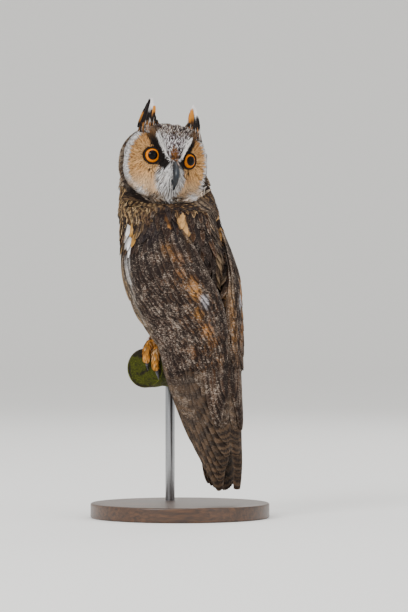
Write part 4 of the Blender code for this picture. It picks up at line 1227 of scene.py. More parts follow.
def head_lie(place, facing):
    """The way plumage lies: out from the eyes on the face, back over the crown, down everywhere else."""
    forward, side, up, along = face_place(place)
    sign = np.where(side < 0, -1.0, 1.0)
    across = np.abs(side)
    from_eye = unit(np.stack((sign * (across - EYE_SPREAD), up - EYE_UP), axis=-1), 1e-5)
    out = unit(np.stack((side, up - FACE_CENTRE_UP), axis=-1), 1e-5)
    flat = from_eye
    flat = flat + (out - flat) * blend(0.70, 0.95, along)[:, None]
    brow_way = np.stack((sign * 0.55, 1.0 + 0 * sign), axis=-1)
    fore_way = np.stack((side * 30, 1.0 + 0 * sign), axis=-1)
    bill_way = np.stack((sign * np.clip(0.10 + across * 52, 0, 0.85), -1.0 + 0 * sign), axis=-1)
    brow = brow_share(across, up, 0.0014)
    flat = flat + (brow_way - flat) * brow[:, None]
    flat = flat + (fore_way - flat) * (forehead_share(across, up) * (1 - brow))[:, None]
    down_share = np.maximum(bill_fan(across, up), blend(-0.028, -0.032, up) * (across < 0.02))
    flat = flat + (bill_way - flat) * down_share[:, None]
    on_face = flat[:, :1] * HEAD_SIDE + flat[:, 1:] * HEAD_UP
    down = blend(0.006, -0.030, forward)[:, None]
    behind = -HEAD_FORWARD * (1 - 0.8 * down) - UP * (0.25 + 0.75 * down)
    off_face = blend(0.98, 1.06, along)[:, None]
    return on_face * (1 - off_face) + behind * off_face


def body_lie(place, facing):
    """Down the body, and out over the toes."""
    _, left, height = to_body(place)
    flat_top = blend(0.80, 0.98, facing[:, 2])[:, None]
    return -UP + 0.12 * np.sign(left)[:, None] * LEFT * (height > 0.2)[:, None] - flat_top * 0.6 * FORWARD


def build_skin(sizes, colours):
    """One smooth body from head to feet, with wing arms and tail root, remeshed so that no seam shows."""
    turns = np.linspace(0, 2 * math.pi, 48, endpoint=False)
    depth = sizes.coat
    heights = np.linspace(0.108, 0.264, 22)
    parts = [loft("torso_form", torso_point(turns[None], heights[:, None], -depth))]
    heights = np.linspace(0.258, 0.3185, 14)
    parts.append(loft("neck_form", neck_point(turns[None], heights[:, None], -depth + 0.001)))
    along = np.concatenate((np.linspace(0.02, 0.98, 30), np.linspace(1.02, 1.95, 20)))
    inset = -sizes.face_coat - (0.0030 - sizes.face_coat) * blend(1.0, 1.3, along)
    round_face = np.linspace(0, 2 * math.pi, 72, endpoint=False)[None] + 0.02
    parts.append(loft("head_form", head_surface(round_face, along[:, None], inset[:, None])))
    for side in (1, -1):
        high = np.linspace(0.268, 0.105, 20)[:, None]
        share = np.linspace(0.02, 0.98, 16)[None]
        thin = blend(0.098, 0.135, high)
        outer = envelope_point(wing_angle(share, high), high, -0.0052 + 0 * share, side)
        inner = envelope_point(wing_angle(share, high), high, -0.0064 - 0.0060 * thin + 0 * share, side)
        parts.append(loft("wing_form", np.concatenate((outer, inner[:, ::-1]), axis=1)))
    rings = [
        tail_surface(half * np.cos(turns), tall, -0.0022 + deep * np.sin(turns))
        for tall, half, deep in TAIL_ROOT
    ]
    parts.append(loft("tail_form", rings))
    shares = np.linspace(0, 1, 12)
    radii = TOE_RADIUS * (1.05 - 0.28 * shares) - 0.0009
    for side, stance, flank_toes in ((1, NEAR_FOOT, NEAR_FLANK_TOES), (-1, FAR_FOOT, FAR_FLANK_TOES)):
        along, turned = stance[0], math.radians(stance[1])
        top = body_point(0.0165 if side > 0 else 0.022, side * 0.0165, 0.168)
        foot = perch_point(along, turned, PERCH_RADIUS + 0.0105)
        line = [top + (foot - top) * share for share in np.linspace(0, 1, len(LEG_RADII))]
        parts.append(sweep("leg_form", line, np.array(LEG_RADII) - 0.0016))
        parts.append(ball_form(perch_point(along, turned, PERCH_RADIUS + 0.0052), 0.0064))
        for offset, turn, reach in flank_toes:
            angles = math.pi / 2 - turn * np.radians(-6 + reach * shares)
            centres = perch_point(along + offset, angles, PERCH_RADIUS + 0.0006 + radii)
            parts.append(sweep("toe_form", centres, radii, 14, PERCH_AXIS))
    for places in END_TOES:
        parts.append(sweep("toe_form", perch_line(places, len(shares)), radii, 14, PERCH_ACROSS))
    skin = join(parts, "skin")
    apply_modifier(skin, "REMESH", mode="VOXEL", voxel_size=sizes.skin_grain, use_smooth_shade=True)
    apply_modifier(skin, "SMOOTH", factor=0.5, iterations=5)
    draw = np.random.default_rng(3)
    points = mesh_points(skin)
    tone, _ = all_marks(points, draw, colours)
    # Painted shade: the plumage colours are darkened where the skin shows in the gaps between the vanes.
    set_colour(skin, "tone", tone * 0.72)
    skin.data.materials.append(down_material(colours))
    places = skin_unwrap(points)
    layer = skin.data.uv_layers.new(name="OFBake")
    corners = np.empty(len(skin.data.loops), dtype=int)
    skin.data.loops.foreach_get("vertex_index", corners)
    layer.data.foreach_set("uv", places[corners].ravel())
    smooth_faces(skin)
    return skin


def perch_line(places, count):
    """A smooth line of points through places along the perch, across it and up from its axis."""
    at = curve_through([(index, *place) for index, place in enumerate(places)])
    along, across, up = at(np.linspace(0, len(places) - 1, count))
    return perch_point(along, 0.0, across) + up[:, None] * UP


def ball_form(centre, radius):
    deselect()
    bpy.ops.mesh.primitive_uv_sphere_add(segments=24, ring_count=16, radius=radius, location=tuple(centre))
    return placed()


def build_face_coat(skin, colours):
    """Fine bristly feathers of the disc, rim, brows and forehead, and the white fans beside the bill."""
    draw = np.random.default_rng(11)
    middles = skin.middles
    forward, side, up, along = face_place(middles)
    clear = np.ones(len(middles), dtype=bool)
    for eye in (-1, 1):
        offset = middles - eye_centre(eye)
        gaze = eye_gaze(eye)
        across = offset - np.outer(offset @ gaze, gaze)
        clear &= (np.linalg.norm(across, axis=1) > LID_RADIUS + 0.0002) | (offset @ gaze < 0)
    clear &= ~((np.abs(side) < 0.0030) & (up < -0.0065) & (up > -0.024))
    front = (forward > 0.002) & (along < 1.10) & is_head(middles)
    spacing = 0.00082 + 0.00030 * blend(0.4, 0.9, along)
    roots = skin.scatter(clear & front, spacing, draw)
    forward, side, up, along = face_place(roots)
    across = np.abs(side)
    fan = bill_fan(across, up)
    brow = brow_share(across, up, 0.0010)
    fore = forehead_share(across, up)
    rim = blend(0.86, 0.95, along)
    length = 0.0046 + 0.0050 * fan + 0.0020 * brow + 0.0014 * rim - 0.0010 * fore
    length *= draw.uniform(0.8, 1.15, len(roots))
    near_eye = np.hypot(across - EYE_SPREAD, up - EYE_UP)
    length *= 0.50 + 0.50 * blend(0.0080, 0.0130, near_eye)
    half = 0.00046 + 0.00012 * rim + 0.00012 * fore
    high = 0.0012 + 0.0020 * fan + 0.0010 * brow + 0.0010 * rim
    coat = Coat()
    curl = 0.0008 * fan * draw.random(len(roots))
    grid = skin.lay(roots, head_lie, length, half, -0.0002, high, HAIR_SHAPE, 3, draw, curl, 0.15, 0.14)
    tone, mark = head_marks(grid[:, 2, 1], draw, colours)
    reach = np.linspace(0, 1, grid.shape[1])[None, :, None, None]
    shade = 1 - 0.70 * fore[:, None, None, None] * blend(0.62, 0.35, reach)
    coat.add(grid, tone[:, None, None] * shade, mark)
    return coat.make("face_feathers", bpy.data.materials["face plumage"])


def build_head_coat(skin, colours):
    """Small feathers of the crown, ear sides, nape and throat, with the dark ruff behind the disc."""
    draw = np.random.default_rng(12)
    forward, _, _, along = face_place(skin.middles)
    wanted = is_head(skin.middles) & ((along >= 1.02) | (forward <= 0.002))
    spacing = 0.0015 + 0.0006 * blend(1.2, 1.6, along)
    roots = skin.scatter(wanted, spacing, draw)
    forward, _, up, along = face_place(roots)
    back = blend(1.2, 1.7, along)
    crown = blend(0.010, 0.026, up)
    throat = blend(-0.020, -0.030, up) * blend(-0.030, -0.010, forward)
    length = 0.0062 + 0.0040 * back - 0.0016 * crown + 0.0070 * throat
    length *= draw.uniform(0.85, 1.15, len(roots))
    high = 0.0022 + 0.0006 * back - 0.0006 * crown + 0.0030 * throat
    coat = Coat()
    half = 0.0010 + 0.0008 * back
    grid = skin.lay(roots, head_lie, length, half, -0.0003, high, BODY_SHAPE, 3, draw)
    tone, mark = head_marks(grid[:, 3, 1], draw, colours)
    reach = np.linspace(0, 1, grid.shape[1])[None, :, None, None]
    shade = 1 - 0.70 * crown[:, None, None, None] * blend(0.80, 0.50, reach)
    coat.add(grid, tone[:, None, None] * shade, mark)
    return coat.make("head_feathers", bpy.data.materials["head plumage"])


def build_body_coat(skin, sizes, colours):
    """Feathers of the neck, breast, back, belly and the upper wings, lying down the body."""
    draw = np.random.default_rng(13)
    height = skin.middles[:, 2] - TAIL_TIP_Z
    wanted = ~is_head(skin.middles) & ~on_leg(skin.middles) & (height > 0.098)
    spacing = 0.0034 - 0.0006 * blend(0.240, 0.285, height)
    roots = skin.scatter(wanted, spacing, draw, 0.55)
    height = roots[:, 2] - TAIL_TIP_Z
    neck = blend(0.235, 0.275, height)
    length = 0.0185 - 0.0020 * neck
    coat = Coat()
    high = sizes.coat - 0.0014 - 0.0030 * neck
    half = 0.0033 - 0.0012 * neck
    grid = skin.lay(roots, body_lie, length, half, -0.0012, high, BODY_SHAPE, 5, draw, 0.0, 0.30, 0.10)
    tone, mark = body_marks(grid[:, 3, 2], draw, colours)
    coat.add(grid, tone, mark)
    return coat.make("body_feathers", bpy.data.materials["body plumage"])


def build_leg_coat(skin, colours):
    """Short hair-like feathers down the legs and over the toes."""
    draw = np.random.default_rng(14)
    height = skin.middles[:, 2] - TAIL_TIP_Z
    wanted = on_leg(skin.middles)
    roots = skin.scatter(wanted, np.full(len(height), 0.0014), draw)
    coat = Coat()
    toes = blend(0.150, 0.136, roots[:, 2] - TAIL_TIP_Z)
    length = 0.0120 - 0.0062 * toes
    grid = skin.lay(roots, body_lie, length, 0.0009, -0.0002, 0.0030 - 0.0014 * toes, HAIR_SHAPE, 3, draw)
    leg = np.array(colours.leg) * (0.45 + 0.75 * draw.random((len(roots), 1)))
    leg = leg + (linear("#E6C9A0") - leg) * 0.5 * (draw.random((len(roots), 1)) < 0.2)
    coat.add(grid, leg, (0.0, 0.0, 0.0))
    return coat.make("leg_feathers", bpy.data.materials["body plumage"])


# Tips of the primaries, from the front of the folded wing: share of the way to its back edge, height.
PRIMARY_TIPS = (
    (0.05, 0.036),
    (0.10, 0.024),
    (0.17, 0.013),
    (0.26, 0.009),
    (0.36, 0.002),
    (0.47, 0.011),
    (0.58, 0.018),
    (0.70, 0.024),
    (0.82, 0.034),
    (0.90, 0.046),
)
# Marks of the wing's feathers: shaft streak, vermiculation and bars.
BARRED = (0.25, 0.12, 0.85)
HALF_BARRED = (0.35, 0.45, 0.6)
VERMICULATED = (0.80, 0.75, 0.22)
PLAIN = (0.4, 0.3, 0.1)
# Tiers of vermiculated feathers: how many, place and height of the first and the last root and of the first
# and the last tip, half width, lifts of root and tip, tilt, unevenness.
WING_TIERS = (
    (5, (0.72, 0.97, 0.168, 0.172), (0.70, 0.93, 0.060, 0.090), 0.0080, (-0.0056, 0.0002), 0.0008, 0.0022),
    (12, (0.05, 0.92, 0.166, 0.170), (0.07, 0.90, 0.108, 0.120), 0.0082, (-0.0052, -0.0002), 0.0007, 0.003),
    (13, (0.04, 0.93, 0.186, 0.190), (0.06, 0.92, 0.132, 0.144), 0.0076, (-0.0050, 0.0001), 0.0006, 0.003),
    (13, (0.04, 0.93, 0.205, 0.208), (0.06, 0.92, 0.156, 0.164), 0.0070, (-0.0050, 0.0004), 0.0006, 0.003),
    (12, (0.05, 0.93, 0.222, 0.226), (0.06, 0.92, 0.178, 0.184), 0.0066, (-0.0048, 0.0006), 0.0006, 0.003),
    (6, (0.62, 0.97, 0.240, 0.246), (0.58, 0.92, 0.190, 0.176), 0.0078, (-0.0044, 0.0010), 0.0008, 0.004),
    (5, (0.64, 0.96, 0.225, 0.228), (0.60, 0.92, 0.165, 0.140), 0.0080, (-0.0048, 0.0008), 0.0008, 0.004),
)
# The secondaries on the folded sheet, and the plain feathers at the wrist, in the same columns.
SECONDARIES = (
    10, (0.10, 0.86, 0.150, 0.152), (0.12, 0.82, 0.070, 0.058), 0.0098, (-0.0050, -0.0008), 0.001, 0.0022
)
WRIST_FEATHERS = (
    4, (0.0, 0.1, 0.228, 0.228), (0.02, 0.12, 0.178, 0.194), 0.0046, (-0.0048, 0.0004), 0.0006, 0.0022
)
COVERT_ROWS = 8


def build_wing(name, side, seed, colours):
    """The long feathers of one folded wing, in overlapping tiers from the primaries up to the scapulars."""
    draw = np.random.default_rng(seed)
    sheets = (fold_surface(side), wing_surface(side))
    coat = Coat()

    def feather(sheet, root, tip, half, lifts, tilt, marks, columns=5):
        bow = draw.normal(0, 0.006)
        grid = vane_grid(sheets[sheet], root, tip, half, lifts, FLIGHT_SHAPE, columns, tilt, bow)
        own_draw = np.random.default_rng(int(draw.integers(1 << 30)))
        tone, _ = body_marks(grid.reshape(-1, 3), own_draw, colours)
        own = tone.reshape(*grid.shape[:2], 3).mean(axis=(0, 1), keepdims=True)
        tone = tone.reshape(grid.shape) * 0.75 + own * 0.25
        if marks in (BARRED, HALF_BARRED):
            tone = tone * 0.15 + linear("#6B5440") * draw.uniform(0.35, 0.65)
        coat.add(grid[None], tone[None], marks)

    def tier(sheet, marks, count, roots, tips, half, lifts, tilt, uneven):
        for index in range(count):
            share = index / (count - 1)
            root, tip = (
                [low + (high - low) * share for low, high in (ends[:2], ends[2:])] for ends in (roots, tips)
            )
            tip[0] += draw.normal(0, 0.006)
            tip[1] += draw.uniform(-uneven, uneven)
            feather(sheet, root, tip, half * draw.uniform(0.93, 1.05), lifts, tilt, marks)

    for index, tip in enumerate(PRIMARY_TIPS):
        root = (0.06 + 0.035 * index, 0.158 - 0.003 * index)
        deep = -0.0062 + 0.00035 * index
        feather(0, root, tip, 0.0088, (deep, deep + 0.0020), 0.0028, BARRED, 7)
    tier(0, HALF_BARRED, *SECONDARIES)
    for row in WING_TIERS:
        tier(1, VERMICULATED, *row)
    tier(1, PLAIN, *WRIST_FEATHERS)
    for row in range(COVERT_ROWS):
        tall = 0.116 + 0.0115 * row
        start, end = 0.17 - 0.005 * (row % 2), 0.93 - 0.02 * (row % 2)
        roots, tips = (start, end, tall + 0.027, tall + 0.029), (start, end - 0.01, tall, tall + 0.002)
        tier(1, VERMICULATED, 17, roots, tips, 0.0047, (-0.0026, 0.0013), 0.0004, 0.0035)
    made = coat.make(name, bpy.data.materials["wing plumage"])
    apply_modifier(made, "SOLIDIFY", thickness=VANE_THICKNESS, offset=-1.0)
    return made


def build_tail():
    """Twelve barred tail feathers folded over each other, the middle pair on top."""
    draw = np.random.default_rng(23)
    coat = Coat()
    for index in range(12):
        place = index - 5.5
        layer = abs(place) - 0.5 + (0.5 if place < 0 else 0)
        root = (0.0095 * place / 5.5, 0.112)
        tip = (0.0172 * place / 5.5 - 0.0040 * max(-place / 5.5, 0), 0.0012 + 0.007 * (place / 5.5) ** 2)
        lift = -0.0006 - 0.00105 * layer
        lifts = (max(lift, -0.0050), lift)
        grid = vane_grid(tail_surface, root, tip, 0.0082, lifts, FLIGHT_SHAPE, 7, 0.0, 0.0, 0.05)
        tone = linear("#6B5440") * draw.uniform(0.40, 0.75)
        coat.add(grid[None], tone[None], (0.2, 0.25, 0.95))
    made = coat.make("tail_feathers", bpy.data.materials["wing plumage"])
    apply_modifier(made, "SOLIDIFY", thickness=VANE_THICKNESS, offset=0.0)
    return made


def build_tuft(name, side, seed):
    """One ear tuft: a broad-based wedge of narrow feathers, black outside, white and orange inside."""
    draw = np.random.default_rng(seed)
    surface = tuft_surface(side)
    coat = Coat()
    wide = 1.0 if side < 0 else 0.80
    count = 40
    for index in range(count):
        place = (index + 0.5) / count * 2 - 1
        length = TUFT_LENGTH * (1 - 0.50 * np.maximum(abs(place) - 0.25, 0) ** 1.1)
        length *= draw.uniform(0.88, 1.03)
        start = (wide * TUFT_HALF_WIDTH * place, -0.0030 + 0.004 * draw.random())
        finish = (wide * 0.0042 * place + draw.normal(0, 0.0005), length)
        lift = 0.0028 - 0.0056 * draw.random()
        lifts = (lift - 0.0028, lift * 0.5)
        bow = draw.normal(0, 0.0005)
        grid = vane_grid(surface, start, finish, 0.0015, lifts, FLIGHT_SHAPE, 3, 0.0, bow)
        rise = np.linspace(-0.2, 1, grid.shape[0])[:, None] * length / TUFT_LENGTH
        black, orange, white = (linear(code) + 0 * rise for code in ("#171214", "#C98230", "#EDE9E8"))
        edge = place + 0.10 * draw.normal()
        tone = black
        if side > 0 and edge > -0.35:
            tone = black + (white - black) * blend(0.36, 0.50, rise + 0.05 * draw.normal()) * (edge < 0.75)
        elif edge > 0.84:
            tone = black + (orange - black) * blend(0.36, 0.24, rise) * blend(-0.05, 0.05, rise)
        elif edge < -0.50:
            tone = orange + (white - orange) * blend(0.66, 0.80, rise)
            tone = black + (tone - black) * blend(0.22, 0.38, rise + 0.05 * draw.normal())
        elif edge < 0.25:
            tone = black + (white - black) * blend(0.34, 0.46, rise + 0.06 * draw.normal())
        if place < -0.93:
            tone = white * 0.8
        tone = np.broadcast_to(tone[:, None], (*grid.shape[:2], 3))
        coat.add(grid[None], tone[None], (0.10, 0.04, 0.0))
    for index in range(30):
        place = -1.0 - 1.1 * (index + draw.random()) / 30
        start = (wide * TUFT_HALF_WIDTH * place, -0.0045)
        finish = (wide * 0.0060 * place + 0.0012, 0.0105 * (2.35 + place) * draw.uniform(0.8, 1.1))
        lift = 0.0026 - 0.0052 * draw.random()
        grid = vane_grid(surface, start, finish, 0.0013, (lift - 0.0030, lift), FLIGHT_SHAPE, 3, 0.0)
        tone = pick(draw.random(), (0.62, "#1C1614"), (0.82, "#6B4C2E"), "#CFC6BF")
        coat.add(grid[None], tone[None], (0.1, 0.1, 0.0))
    for index in range(260):
        turn, near = draw.uniform(0, 2 * math.pi), math.sqrt(draw.random()) * 0.0105
        start = (near * math.cos(turn) - 0.0022, -0.0062)
        length = draw.uniform(0.006, 0.013) * (1.20 - 0.5 * near / 0.0105)
        finish = (start[0] * 0.78 + draw.normal(0, 0.0006), length - 0.004)
        lift = near * math.sin(turn) * 0.7
        grid = vane_grid(surface, start, finish, 0.00075, (lift, lift * 0.6), HAIR_SHAPE, 3, 0.0)
        tone = pick(draw.random(), (0.52, "#231B1A"), (0.80, "#BDB1A8"), "#9A6632")
        coat.add(grid[None], tone[None], (0.0, 0.1, 0.0))
    return coat.make(name, bpy.data.materials["head plumage"])


def build_eye(name, side, colours):
    """The ball of an eye with its cornea swelling forward, turned along its gaze."""
    gaze = Vector(eye_gaze(side))
    deselect()
    bpy.ops.mesh.primitive_uv_sphere_add(
        segments=64,
        ring_count=48,
        radius=EYE_RADIUS - 0.0005,
        location=tuple(eye_centre(side)),
        rotation=gaze.to_track_quat("Z", "Y").to_euler(),
    )
    eye = placed()
    eye.name = name
    points = mesh_points(eye)
    offset = points - eye_centre(side)
    ahead = offset @ np.array(gaze)
    around = np.linalg.norm(offset - ahead[:, None] * np.array(gaze), axis=1)
    swell = 0.0011 * hump(around, 0, 0.0050) * (ahead > 0)
    move_points(eye, points + np.array(gaze) * swell[:, None])
    eye.data.materials.append(eye_material(colours, name + " surface", side))
    smooth_faces(eye)
    return eye


def build_lids(side):
    """Both lids round one eye: a thin dark rim, heavier and lower above."""
    gaze = Vector(eye_gaze(side))
    centre = Vector(eye_centre(side)) + gaze * 0.0060
    deselect()
    bpy.ops.mesh.primitive_torus_add(
        major_segments=64,
        minor_segments=16,
        major_radius=LID_RADIUS,
        minor_radius=LID_THICKNESS,
        location=centre,
        rotation=gaze.to_track_quat("Z", "Y").to_euler(),
    )
    lids = placed()
    points = mesh_points(lids)
    offset = points - np.array(centre)
    rise = offset @ HEAD_UP
    above = blend(0.0015, 0.0075, rise)
    move_points(lids, points + np.outer(above, np.array(gaze) * 0.0009 - HEAD_UP * 0.0006))
    smooth_faces(lids)
    return lids


# The bill's halves from root to tip, in the head's frame: forward, up, half width, half height.
BILL_UPPER = (
    (0.0240, 0.0000, 0.0030, 0.0036),
    (0.0305, -0.0035, 0.0032, 0.0040),
    (0.0355, -0.0090, 0.0035, 0.0043),
    (0.0380, -0.0142, 0.0033, 0.0040),
    (0.0376, -0.0200, 0.0025, 0.0029),
    (0.0358, -0.0250, 0.0013, 0.0016),
    (0.0338, -0.0287, 0.0004, 0.0005),
)
BILL_LOWER = (
    (0.0225, -0.0120, 0.0024, 0.0016),
    (0.0288, -0.0160, 0.0024, 0.0016),
    (0.0312, -0.0196, 0.0018, 0.0012),
    (0.0322, -0.0228, 0.0007, 0.0005),
)


def bill_half(name, rows):
    at = curve_through([(index, *row) for index, row in enumerate(rows)])
    forward, up, wide, deep = at(np.linspace(0, len(rows) - 1, 30))
    centres = head_point(forward, 0.0, up)
    along = unit(np.gradient(centres, axis=0))
    outer = np.cross(HEAD_SIDE, along)
    turns = np.linspace(0, 2 * math.pi, 28, endpoint=False)
    ridge = 1 + 0.16 * hump(turns, math.pi / 2, 0.35) + 0.16 * hump(turns, 3 * math.pi / 2, 0.35)
    rings = centres[:, None] + HEAD_SIDE * (wide[:, None] * np.cos(turns) * 0.96)[..., None]
    rings = rings + outer[:, None] * (deep[:, None] * np.sin(turns) * ridge / 1.16)[..., None]
    return loft(name, rings)


def build_bill():
    """The hooked upper half with its nostrils, and the smaller lower half behind it."""
    upper, lower = bill_half("bill_upper_horn", BILL_UPPER), bill_half("bill_lower_horn", BILL_LOWER)
    surface = horn_material("bill horn", "#090D12", "#18212B", 0.30)
    for side in (-1, 1):
        pit = ball_form(head_point(0.0350, side * 0.0034, -0.0085), 0.0009)
        apply_modifier(upper, "BOOLEAN", operation="DIFFERENCE", object=pit, solver="EXACT")
        bpy.data.objects.remove(pit)
    for item in (upper, lower):
        item.data.materials.append(surface)
        smooth_by_angle(item, 50)
    return upper, lower


def build_claws(name, stance, flank_toes, end_claws):
    """The four claws of one foot, curving on round the perch or down its end from the ends of the toes."""
    made = []
    shares = np.linspace(0, 1, 14)
    radii = CLAW_RADIUS * (1 - 0.93 * shares)
    for offset, turn, degrees in flank_toes:
        angles = math.pi / 2 - turn * np.radians(degrees - 5 + 34 * shares)
        reach = PERCH_RADIUS + 0.0004 + radii + 0.0012 * (1 - shares)
        centres = perch_point(stance[0] + offset, angles, reach)
        made.append(sweep("claw", centres, radii, 16, PERCH_AXIS))
    for places in end_claws:
        made.append(sweep("claw", perch_line(places, len(shares)), radii, 16, PERCH_ACROSS))
    claws = join(made, name)
    claws.data.materials.append(bpy.data.materials["claw horn"])
    smooth_faces(claws)
    return claws


def build_perch(colours):
    """A cut length of mossy branch, furrowed between the feet, with flat mossy ends."""
    middle = perch_point(0.0, 0.0, 0.0) - PERCH_AXIS * PERCH_LENGTH / 2
    near = Vector(PERCH_AXIS)
    deselect()
    bpy.ops.mesh.primitive_cylinder_add(
        vertices=96,
        radius=PERCH_RADIUS - 0.0004,
        depth=PERCH_LENGTH - 0.0004,
        location=tuple(middle),
        rotation=near.to_track_quat("Z", "Y").to_euler(),
    )
    perch = placed()
    perch.name = "branch"
    edit_chosen(perch, "FACE", lambda face: abs(face.normal.dot(near)) > 0.9)
    bpy.ops.mesh.inset(thickness=0.0009, depth=0.0)
    work = bmesh.from_edit_mesh(perch.data)
    for face in work.faces:
        face.material_index = 1 if face.select else 0
    bmesh.update_edit_mesh(perch.data)
    edit_chosen(perch, "EDGE", lambda edge: edge.calc_length() > PERCH_LENGTH * 0.8)
    bpy.ops.mesh.subdivide(number_cuts=70)
    bpy.ops.object.mode_set(mode="OBJECT")
    points = mesh_points(perch)
    offset = points - perch_point(0.0, 0.0, 0.0)
    along = -(offset @ PERCH_AXIS)
    radial = offset + np.outer(along, PERCH_AXIS)
    reach = np.linalg.norm(radial, axis=1)
    angle = np.arctan2(radial[:, 2], radial @ PERCH_ACROSS)
    grip = np.maximum(hump(along, NEAR_FOOT[0], 0.012), hump(along, FAR_FOOT[0], 0.012))
    furrow = 0.5 + 0.5 * np.sin(angle * 11 + 2.2 * np.sin(along * 130) + 1.3 * np.sin(angle * 3))
    knots = 0.5 + 0.5 * np.sin(angle * 5 + along * 210 + 1.7)
    worn = (0.0011 * furrow + 0.0007 * knots) * (1 - 0.9 * grip)
    on_side = (reach > PERCH_RADIUS * 0.99 - 0.0004) & (along > 0.0008) & (along < PERCH_LENGTH - 0.0008)
    out = radial / np.maximum(reach, 1e-6)[:, None]
    move_points(perch, points - out * (worn * on_side)[:, None])
    perch.data.materials.append(bark_material(colours))
    perch.data.materials.append(cut_material())
    smooth_by_angle(perch, 40)
    return perch


def turned_body(name, place, low, high, radius, sides, surface, rim):
    """A round body upright between two heights, with its rims eased."""
    deselect()
    middle = (*place, (low + high) / 2)
    bpy.ops.mesh.primitive_cylinder_add(vertices=sides, radius=radius, depth=high - low, location=middle)
    item = placed()
    item.name = name
    edit_chosen(item, "EDGE", lambda edge: abs(edge.verts[0].co.z - edge.verts[1].co.z) < 1e-5)
    bpy.ops.mesh.bevel(**rim)
    bpy.ops.object.mode_set(mode="OBJECT")
    item.data.materials.append(surface)
    smooth_by_angle(item, 40)
    return item


def build_stand(colours):
    """A turned base with an eased rim and a steel rod up into the perch."""
    wood, steel = wood_material(colours), steel_material()
    rim = {"offset": 0.002, "segments": 4, "profile": 0.6}
    base = turned_body("stand_plinth", (0, 0), 0.0, BASE_HEIGHT, BASE_RADIUS, 128, wood, rim)
    foot = perch_point(ROD_PLACE, 0.0, 0.0)
    low, high = 0.0063, TAIL_TIP_Z + PERCH_HEIGHT - PERCH_RADIUS + 0.0077
    rim = {"offset": 0.0004, "segments": 2}
    rod = turned_body("stand_upright", foot[:2], low, high, ROD_RADIUS, 64, steel, rim)
    return base, rod


# Width of the film in millimetres; distance of the bird and the width seen there in metres.
FILM_WIDTH = 36.0
CAMERA_DISTANCE = 3.0
VIEW_WIDTH = 0.5814
# Lamps of the stage: name, place, size, power.
LAMPS = (
    ("key", (-1.5, -2.2, 1.9), 1.4, 58.0),
    ("fill", (1.9, -1.7, 0.9), 1.6, 8.0),
    ("back", (0.6, 1.9, 1.7), 1.4, 14.0),
    ("top", (0.0, -0.2, 2.2), 1.2, 14.0),
)


def build_stage():
    """A plain pale floor, soft lights and the camera at the bird's own height."""
    turns = np.linspace(0, math.pi / 2, 24)
    far, bend = 6.5, 3.0
    curve = zip(far + bend * np.sin(turns), bend - bend * np.cos(turns), strict=True)
    profile = [(-9.0, 0.0), *curve, (far + bend, 9.0)]
    rows = [[(x, y, z) for x in (-12.0, 12.0)] for y, z in profile]
    faces = [face[::-1] for face in grid_faces(len(rows), 2)]
    floor = new_piece("floor", rows, faces, floor_material())
    smooth_faces(floor)
    world = bpy.data.worlds.new("studio air")
    world.use_nodes = True
    air = world.node_tree.nodes["Background"]
    air.inputs["Color"].default_value = (*linear("#E9E9E8"), 1.0)
    air.inputs["Strength"].default_value = 1.2
    bpy.context.scene.world = world
    for name, place, size, power in LAMPS:
        lamp = bpy.data.lights.new(name, "AREA")
        lamp.shape = "DISK"
        lamp.size = size
        lamp.energy = power
        item = bpy.data.objects.new(name, lamp)
        bpy.context.scene.collection.objects.link(item)
        item.location = place
        item.rotation_euler = (Vector((0, 0, 0.22)) - Vector(place)).to_track_quat("-Z", "Y").to_euler()
    lens = bpy.data.cameras.new("camera")
    lens.sensor_width = FILM_WIDTH
    lens.lens = FILM_WIDTH * CAMERA_DISTANCE / VIEW_WIDTH
    camera = bpy.data.objects.new("camera", lens)
    camera.location = (0.0228, -CAMERA_DISTANCE, 0.2008)
    camera.rotation_euler = (math.radians(90), 0, 0)
    bpy.context.scene.collection.objects.link(camera)
    bpy.context.scene.camera = camera


def length_property(label, description, size):
    return bpy.props.FloatProperty(name=label, description=description, default=size, unit="LENGTH")


class OwlSizes(bpy.types.PropertyGroup):
    """Sizes that set how deep and how fine the plumage is."""

    coat: length_property("Coat depth", "How far body feathers stand over the skin", 0.0056)
    face_coat: length_property("Face coat depth", "How far face feathers stand over the skin", 0.0014)
    skin_grain: length_property("Skin grain", "Size of the faces the skin is remeshed to", 0.0014)


def colour_property(label, description, code):
    return bpy.props.FloatVectorProperty(
        name=label, description=description, default=tuple(
            linear(code)
        ), subtype="COLOR", size=3, min=0, max=1
    )


class OwlColours(bpy.types.PropertyGroup):
    """Colours of the plumage, eyes, branch and base."""

    # The streak colour also paints the shade at the roots of the vanes.
    streak: colour_property("Streak", "Dark shaft streaks and bars", "#1C1513")
    fleck: colour_property("Fleck", "Pale vermiculation over the dark feathers", "#A8998B")
    dark: colour_property("Dark", "Dark brown of the back", "#1D1716")
    brown: colour_property("Brown", "Warm brown of the back", "#553D30")
    buff: colour_property("Buff", "Buff of the neck and breast", "#B18A58")
    disc: colour_property("Disc", "Orange-buff of the facial disc", "#F3BE7E")
    disc_deep: colour_property("Disc, deep", "Darker rays of the facial disc", "#A06C3A")
    white: colour_property("White", "Brows, bristles and rim of the face", "#F0ECEA")
    leg: colour_property("Leg", "Feathers of the legs and toes", "#DE963F")
    iris: colour_property("Iris", "Bright part of the iris", "#E88C00")
    iris_deep: colour_property("Iris, deep", "Rays and rims of the iris", "#C06000")
    bark: colour_property("Bark", "Furrows of the branch", "#1D1913")
    moss: colour_property("Moss", "Moss on the branch", "#6F7420")
    wood: colour_property("Base wood", "Stained wood of the base", "#5B3B22")


kept = {}


def skin_surface():
    """The skin, ready to follow, measured once."""
    if "skin" not in kept:
        kept["skin"] = Skin(bpy.data.objects["skin"])
    return kept["skin"]


def carried(item, nodes):
    """The piece rides with the model and stands for its solids."""
    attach(item, "root")
    if nodes:
        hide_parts(*nodes)


class Step:
    """Runs one step of the model with the scene's sizes and colours."""

    def execute(self, context):
        self.build(context.scene.owl_sizes, context.scene.owl_colours)
        return {"FINISHED"}


